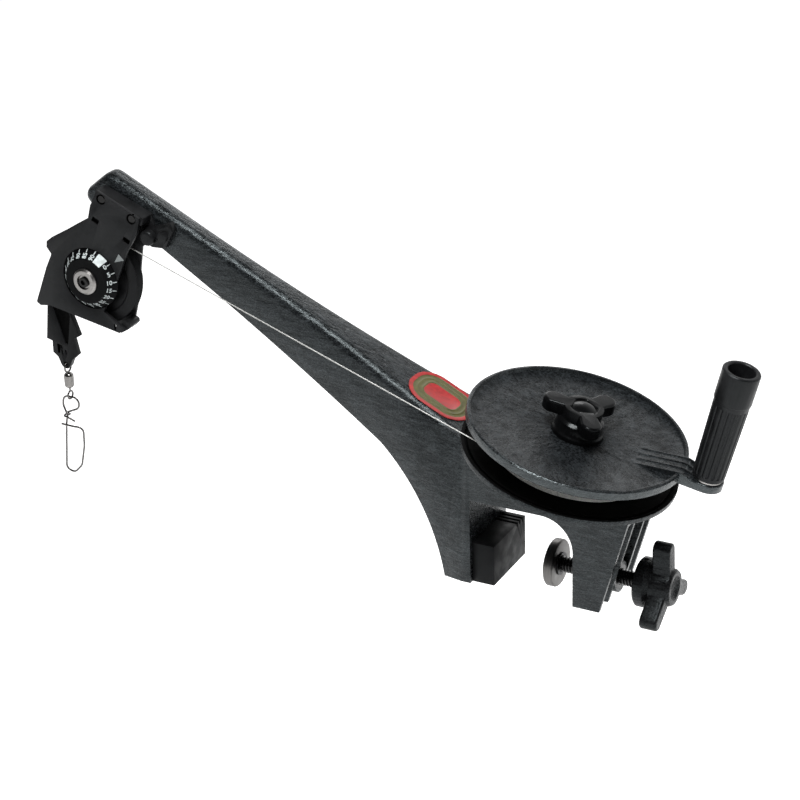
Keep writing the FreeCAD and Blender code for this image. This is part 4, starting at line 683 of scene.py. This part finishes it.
class DOWNRIGGER_OT_dial(bpy.types.Operator):
    """Counter dial's numbers and ticks on its sloping edge, and the plate's pointer"""
    bl_idname = "downrigger.dial"
    bl_label = "Dial marks"

    def execute(self, context):
        paint_node("dial", finish("dial_plastic"))
        count = sizes().dial_marks
        step = 2 * math.pi / count
        tip = math.atan2(DIAL_DROP, DIAL_OUTER - DIAL_INNER)
        marks = []
        for number in range(count - 1):
            angle = FIRST_MARK - number * step
            bpy.ops.object.text_add()
            words = bpy.context.object
            words.data.body = str(number * 5)
            words.data.size = sizes().number_height * 1.35
            words.data.align_x = "RIGHT"
            words.data.align_y = "CENTER"
            words.data.extrude = 0.00004
            words.data.offset = 0.00013
            words.data.resolution_u = 2
            bpy.ops.object.convert(target="MESH")
            settle(words)
            words.data.transform(cone_turn(angle, tip, on_dial(angle, NUMBER_REACH)))
            marks.append(words)
            bpy.ops.mesh.primitive_cube_add(size=1.0)
            tick = bpy.context.object
            tick.scale = TICK_SIZE
            settle(tick)
            tick.data.transform(cone_turn(angle, tip, on_dial(angle, TICK_REACH)))
            marks.append(tick)
        marks.append(self.blank_sector(FIRST_MARK + step, step))
        pick(*marks)
        bpy.ops.object.join()
        marks[0].name = "dial_marks"
        dress(marks[0], "dial", "nylon", finish("mark_paint"))
        self.pointer()
        return {"FINISHED"}

    def blank_sector(self, angle, step):
        """The pale sector between the last number and the first."""
        bpy.ops.mesh.primitive_grid_add(x_subdivisions=10, y_subdivisions=1, size=1.0)
        sector = bpy.context.object
        near, far = BLANK_REACH
        for corner in sector.data.vertices:
            way = angle + corner.co.x * step * 1.15
            corner.co = on_dial(way, near + (far - near) * (corner.co.y + 0.5))
        bpy.context.view_layer.update()
        edit_mesh(sector)
        bpy.ops.mesh.select_all(action="SELECT")
        bpy.ops.mesh.normals_make_consistent(inside=False)
        leave_edit()
        solid = sector.modifiers.new("thickness", "SOLIDIFY")
        solid.thickness = 0.00008
        solid.offset = 0.0
        apply_modifiers(sector)
        return sector

    def pointer(self):
        """The plate's pale triangle, its point up and its base towards the dial."""
        bpy.ops.mesh.primitive_cylinder_add(vertices=3, radius=0.005, depth=0.0003)
        arrow = bpy.context.object
        for number, corner in enumerate(arrow.data.vertices):
            out, rise = POINTER_TIPS[number // 2]
            corner.co = (AXLE.x + out, PLATE_FRONT + (0.0001, -0.0002)[number % 2], AXLE.z + rise)
        edit_mesh(arrow)
        bpy.ops.mesh.select_all(action="SELECT")
        bpy.ops.mesh.normals_make_consistent(inside=False)
        leave_edit()
        arrow.name = "dial_pointer"
        dress(arrow, "frame", "moulding", finish("pointer_paint"))


class DOWNRIGGER_OT_clamp_screw(bpy.types.Operator):
    """Clamp screw with its thread cut along the rod"""
    bl_idname = "downrigger.clamp_screw"
    bl_label = "Clamp screw"

    def execute(self, context):
        low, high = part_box("clamp_screw")
        pitch = sizes().thread_pitch
        crest = (high.y - low.y) / 2
        root = crest - sizes().thread_depth
        bpy.ops.mesh.primitive_circle_add(vertices=5, radius=crest)
        rod = bpy.context.object
        edit_mesh(rod)
        mesh = bmesh.from_edit_mesh(rod.data)
        for edge in list(mesh.edges):
            if {corner.index for corner in edge.verts} == {0, 4}:
                mesh.edges.remove(edge)
        start = low.x - pitch
        profile = ((0.0, root), (0.20, root), (0.45, crest), (0.60, crest), (0.85, root))
        mesh.verts.ensure_lookup_table()
        for corner, (share, reach) in zip(mesh.verts, profile):
            corner.co = Vector((start + share * pitch, 0.0, reach))
        last = mesh.verts.new(Vector((start + pitch, 0.0, root)))
        mesh.verts.ensure_lookup_table()
        mesh.edges.new((mesh.verts[4], last))
        bmesh.update_edit_mesh(rod.data)
        leave_edit()
        winder = rod.modifiers.new("thread", "SCREW")
        winder.axis = "X"
        winder.steps = 24
        winder.render_steps = 24
        winder.screw_offset = pitch
        winder.iterations = round((high.x - low.x) / pitch) + 2
        winder.use_merge_vertices = True
        winder.merge_threshold = 0.00001
        apply_modifiers(rod)
        edit_mesh(rod)
        for place, way in ((low.x, -1.0), (high.x, 1.0)):
            bpy.ops.mesh.select_all(action="SELECT")
            bpy.ops.mesh.bisect(plane_co=(place, 0.0, 0.0), plane_no=(way, 0.0, 0.0),
                                use_fill=True, clear_outer=True)
        bpy.ops.mesh.select_all(action="SELECT")
        bpy.ops.mesh.remove_doubles(threshold=0.00001)
        bpy.ops.mesh.normals_make_consistent(inside=False)
        leave_edit()
        rod.data.transform(Matrix.Translation((0.0, 0.0, CLAMP_AXIS_Z)))
        rod.name = "clamp_screw_thread"
        pick(rod)
        bpy.ops.object.shade_smooth_by_angle(angle=math.radians(30))
        dress(rod, "clamp_screw", "black_thread", finish("thread_black"), "clamp_screw")
        return {"FINISHED"}


class DOWNRIGGER_OT_clamp_fittings(bpy.types.Operator):
    """Clamp's rubber pad, foot, knob and nut"""
    bl_idname = "downrigger.clamp_fittings"
    bl_label = "Clamp fittings"

    def execute(self, context):
        softened("jaw_pad", "jaw_pad_rubber", "frame", "rubber", "pad_rubber", sizes().small_edge)
        softened("clamp_foot", "clamp_foot_disc", "clamp_foot", "foot_metal", "foot_steel",
                 sizes().small_edge * 0.6)
        softened("clamp_knob", "clamp_hand_knob", "clamp_screw", "knob", "clamp_knob_plastic",
                 sizes().moulding_edge)
        paint_node("clamp_nut", finish("thread_black"))
        paint_node("clamp_knob_pin", finish("dark_steel"))
        paint_node("foot_clip", finish("dark_steel"))
        paint_node("jaw_pad_screws", finish("dark_steel"))
        return {"FINISHED"}


class DOWNRIGGER_OT_clutch(bpy.types.Operator):
    """Clutch knob, insert, washers and discs round the reel's shaft"""
    bl_idname = "downrigger.clutch"
    bl_label = "Clutch knob and stack"

    def execute(self, context):
        softened("clutch_knob", "clutch_hand_knob", "clutch_knob", "knob", "knob_plastic",
                 sizes().small_edge)
        for node, look in (("knob_insert", "bronze"), ("clutch_disc", "brake_fibre"),
                           ("thrust_washer", "nylon"), ("spring_washer", "wire_steel"),
                           ("reel_shaft", "wire_steel"), ("reel_bushing", "bronze"),
                           ("brake_disc", "brake_fibre")):
            paint_node(node, finish(look))
        return {"FINISHED"}


class DOWNRIGGER_OT_grip(bpy.types.Operator):
    """Crank grip with its flutes and hollow end, on its bolt"""
    bl_idname = "downrigger.grip"
    bl_label = "Crank grip"

    def execute(self, context):
        softened("crank_grip", "crank_hand_grip", "grip", "grip", "grip_plastic",
                 sizes().small_edge * 0.6)
        for node in ("grip_bolt", "grip_nut", "grip_washer"):
            paint_node(node, finish("wire_steel"))
        return {"FINISHED"}


class DOWNRIGGER_OT_counter(bpy.types.Operator):
    """Pulley, wobble gear, axle and the head's screws"""
    bl_idname = "downrigger.counter"
    bl_label = "Pulley and counter works"

    def execute(self, context):
        softened("pulley", "pulley_wheel", "pulley", "nylon", "nylon", sizes().small_edge * 0.5)
        for node, look in (("wobble_gear", "nylon"), ("pulley_bushing", "bronze"),
                           ("pulley_axle", "wire_steel"), ("head_screws", "socket_black"),
                           ("dial_washer", "washer_steel"), ("dial_screw", "socket_black")):
            paint_node(node, finish(look))
        return {"FINISHED"}


def wire_curve(name, points, diameter, cyclic=False):
    """A round wire along a smooth open spline through the frame."""
    data = bpy.data.curves.new(name, "CURVE")
    data.dimensions = "3D"
    spline = data.splines.new("NURBS")
    spline.points.add(len(points) - 1)
    for knot, place in zip(spline.points, points):
        knot.co = (*place, 1.0)
    spline.use_endpoint_u = True
    spline.order_u = 3
    spline.resolution_u = 8
    data.bevel_depth = diameter / 2
    data.bevel_resolution = 2
    data.use_fill_caps = True
    piece = bpy.data.objects.new(name, data)
    bpy.context.scene.collection.objects.link(piece)
    pick(piece)
    bpy.ops.object.convert(target="MESH")
    return piece


class DOWNRIGGER_OT_cable(bpy.types.Operator):
    """Cable wound on the drum, and its run over the pulley to the terminator"""
    bl_idname = "downrigger.cable"
    bl_label = "Cable"

    def execute(self, context):
        diameter = sizes().cable_diameter
        turns = sizes().winding_turns
        knots = 12
        reach = WINDING_REACH / ((1 + math.cos(2 * math.pi / knots)) / 2)
        route = []
        for number in range(turns * knots + 1):
            share = number / (turns * knots)
            angle = 2 * math.pi * number / knots
            out = REEL_ALONG * math.cos(angle) + SIDEWAYS * math.sin(angle)
            depth = WINDING_BOTTOM + (WINDING_TOP - WINDING_BOTTOM) * share
            route.append(REEL_CENTRE + out * reach - REEL_UP * depth)
        winding = wire_curve("cable_turns", route, diameter)
        bpy.ops.object.shade_smooth()
        dress(winding, "reel", "cable", finish("painted_lit_winding_wire"), "cable_winding")
        core = merged_copy("cable_inner_layers", "cable_layers_below")
        bpy.ops.object.shade_smooth_by_angle(angle=math.radians(30))
        dress(core, "reel", "cable", finish("cable_wire"), "cable_inner_layers")
        run = wire_curve("cable_line", [Vector(place) for place in CABLE_ROUTE], diameter)
        bpy.ops.object.shade_smooth()
        dress(run, "frame", "cable", finish("cable_wire"), "cable_run")
        return {"FINISHED"}


class DOWNRIGGER_OT_terminator(bpy.types.Operator):
    """Cable terminator with its cover, swivel and snap"""
    bl_idname = "downrigger.terminator"
    bl_label = "Terminator, swivel and snap"

    def execute(self, context):
        body = softened("cable_terminator", "terminator_body", "terminator", "terminator",
                        "terminator_plastic", sizes().small_edge * 0.8)
        low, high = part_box("cable_terminator")
        # The groove set into the terminator's front is painted near-black as shade.
        inlay(body, finish("painted_shade_black"), lambda middle, normal:
              low.y + 0.0008 < middle.y < low.y + 0.0024 and normal.y < -0.9)
        softened("terminator_cover", "terminator_lid", "terminator", "terminator", "terminator_plastic",
                 sizes().small_edge * 0.6)
        paint_node("terminator_screw", finish("dark_steel"))
        paint_node("swivel_barrel", finish("swivel_steel"))
        for node in ("swivel_ring", "swivel_eye"):
            paint_node(node, finish("snap_steel"))
        snap = merged_copy("snap", "snap_wire")
        swell = snap.modifiers.new("wire", "DISPLACE")
        swell.strength = SNAP_SWELL
        swell.mid_level = 0.0
        apply_modifiers(snap)
        pick(snap)
        bpy.ops.object.shade_smooth_by_angle(angle=math.radians(40))
        dress(snap, "snap", "swivel", finish("snap_steel"), "snap")
        return {"FINISHED"}


class DOWNRIGGER_OT_badge(bpy.types.Operator):
    """Plain badge on the boom: a raised border and an inner loop round a bare field, with no words"""
    bl_idname = "downrigger.badge"
    bl_label = "Badge"

    def execute(self, context):
        badge = merged_copy("badge", "badge_plate")
        up = Vector((math.sin(BOOM_SLOPE), 0.0, math.cos(BOOM_SLOPE)))
        edit_mesh(badge)
        choose_faces(badge, lambda middle, normal: normal.dot(up) > 0.99)
        for width, rise in BADGE_STEPS:
            bpy.ops.mesh.inset(thickness=width, depth=rise)
        leave_edit()
        round_edges(badge, 0.0002, 30.0, 1)
        dress(badge, "frame", "badge", finish("badge_border"), "badge")
        low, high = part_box("badge")
        centre = (Vector(low) + Vector(high)) / 2
        level = max(corner.co.dot(up) for corner in badge.data.vertices)
        inlay(badge, finish("badge_field"), lambda middle, normal:
              normal.dot(up) > 0.5 and middle.dot(up) < level - 0.00012)
        inlay(badge, finish("badge_border"), lambda middle, normal:
              normal.dot(up) > 0.5 and (middle - centre).length < BADGE_MIDDLE)
        return {"FINISHED"}


class DOWNRIGGER_OT_stage(bpy.types.Operator):
    """Pale floor, soft lamps and the camera at the photograph's place"""
    bl_idname = "downrigger.stage"
    bl_label = "Stage"

    def execute(self, context):
        self.floor()
        self.lamps()
        self.camera()
        context.scene.view_settings.view_transform = "Standard"
        return {"FINISHED"}

    def floor(self):
        bpy.ops.mesh.primitive_plane_add(size=14.0, location=(0.0, 0.0, FLOOR_HEIGHT))
        floor = bpy.context.object
        floor.name = "studio_floor"
        settle(floor)
        material, tree, shader = new_finish("studio_floor")
        shader.inputs["Base Color"].default_value = (0.86, 0.86, 0.86, 1.0)
        shader.inputs["Roughness"].default_value = 0.9
        shader.inputs["Specular IOR Level"].default_value = 0.0
        path = add_node(tree, "ShaderNodeLightPath")
        seen = add_node(tree, "ShaderNodeMath", operation="MAXIMUM")
        tree.links.new(path.outputs["Is Camera Ray"], seen.inputs[0])
        glossy = add_node(tree, "ShaderNodeMath", operation="MAXIMUM")
        tree.links.new(path.outputs["Is Glossy Ray"], glossy.inputs[0])
        tree.links.new(path.outputs["Is Transmission Ray"], glossy.inputs[1])
        tree.links.new(glossy.outputs["Value"], seen.inputs[1])
        shader.inputs["Emission Color"].default_value = (1.0, 1.0, 1.0, 1.0)
        lift = add_node(tree, "ShaderNodeMath", operation="MULTIPLY")
        lift.inputs[1].default_value = FLOOR_LIFT
        tree.links.new(seen.outputs["Value"], lift.inputs[0])
        tree.links.new(lift.outputs["Value"], shader.inputs["Emission Strength"])
        floor.data.materials.append(material)

    def lamps(self):
        world = bpy.data.worlds.new("studio")
        bpy.context.scene.world = world
        world.use_nodes = True
        tree = world.node_tree
        background = tree.nodes["Background"]
        path = add_node(tree, "ShaderNodeLightPath")
        glossy = add_node(tree, "ShaderNodeMath", operation="MAXIMUM")
        tree.links.new(path.outputs["Is Glossy Ray"], glossy.inputs[0])
        tree.links.new(path.outputs["Is Transmission Ray"], glossy.inputs[1])
        way = add_node(tree, "ShaderNodeTexCoord")
        parts = add_node(tree, "ShaderNodeSeparateXYZ")
        tree.links.new(way.outputs["Generated"], parts.inputs["Vector"])
        ground = ramp(tree, parts.outputs["Z"], ((0.0, 1.0), (0.06, 0.0)))
        wall = blend(tree, 1.0, ramp(tree, parts.outputs["Y"], ((0.10, 0.05), (0.55, 1.0))),
                     ramp(tree, parts.outputs["Z"], ((0.50, 1.0), (0.85, 0.25))), "MULTIPLY")
        room = blend(tree, 1.0, ground, wall, "LIGHTEN")
        bounce = blend(tree, glossy.outputs["Value"], (0.22, 0.22, 0.22), room)
        shown = blend(tree, path.outputs["Is Camera Ray"], bounce, (1.0, 1.0, 1.0))
        tree.links.new(shown, background.inputs["Color"])
        background.inputs["Strength"].default_value = 1.0
        for name, place, target, width, power in LAMPS:
            bpy.ops.object.light_add(type="AREA", location=place)
            lamp = bpy.context.object
            lamp.name = name
            lamp.data.size = width
            lamp.data.energy = power
            lamp.visible_glossy = name in LAMPS_IN_REFLECTIONS
            lamp.rotation_mode = "QUATERNION"
            lamp.rotation_quaternion = (Vector(target) - Vector(place)).to_track_quat("-Z", "Y")

    def camera(self):
        bpy.ops.object.camera_add()
        camera = bpy.context.object
        camera.name = "photo_camera"
        right = Vector((0.88759, 0.45992, -0.02598))
        upward = Vector((-0.17196, 0.38313, 0.90756))
        back = Vector((0.42736, -0.80105, 0.41914))
        place = Matrix((right, upward, back)).transposed().to_4x4()
        place.translation = Vector((0.68609, -1.50855, 0.84880))
        camera.matrix_world = place
        camera.data.sensor_width = 36.0
        camera.data.lens = 103.5
        camera.data.clip_start = 0.05
        camera.data.clip_end = 30.0
        bpy.context.scene.camera = camera


PIECES = (
    DOWNRIGGER_OT_stage, DOWNRIGGER_OT_cable, DOWNRIGGER_OT_frame, DOWNRIGGER_OT_reel,
    DOWNRIGGER_OT_head, DOWNRIGGER_OT_dial, DOWNRIGGER_OT_counter, DOWNRIGGER_OT_clutch,
    DOWNRIGGER_OT_grip, DOWNRIGGER_OT_clamp_screw, DOWNRIGGER_OT_clamp_fittings,
    DOWNRIGGER_OT_terminator, DOWNRIGGER_OT_badge,
)


class DOWNRIGGER_PT_panel(bpy.types.Panel):
    """Sidebar panel that lists the pieces"""
    bl_idname = "DOWNRIGGER_PT_panel"
    bl_label = "Manual downrigger"
    bl_space_type = "VIEW_3D"
    bl_region_type = "UI"
    bl_category = "Downrigger"

    def draw(self, context):
        for piece in PIECES:
            self.layout.operator(piece.bl_idname)


CLASSES = (DownriggerSizes, DownriggerColours) + PIECES + (DOWNRIGGER_PT_panel,)


def register():
    for item in CLASSES:
        bpy.utils.register_class(item)
    bpy.types.Scene.downrigger_sizes = bpy.props.PointerProperty(type=DownriggerSizes)
    bpy.types.Scene.downrigger_colours = bpy.props.PointerProperty(type=DownriggerColours)


def unregister():
    del bpy.types.Scene.downrigger_colours
    del bpy.types.Scene.downrigger_sizes
    for item in reversed(CLASSES):
        bpy.utils.unregister_class(item)


def main():
    register()
    for piece in PIECES:
        group, name = piece.bl_idname.split(".")
        getattr(getattr(bpy.ops, group), name)()


if __name__ == "__main__":
    main()
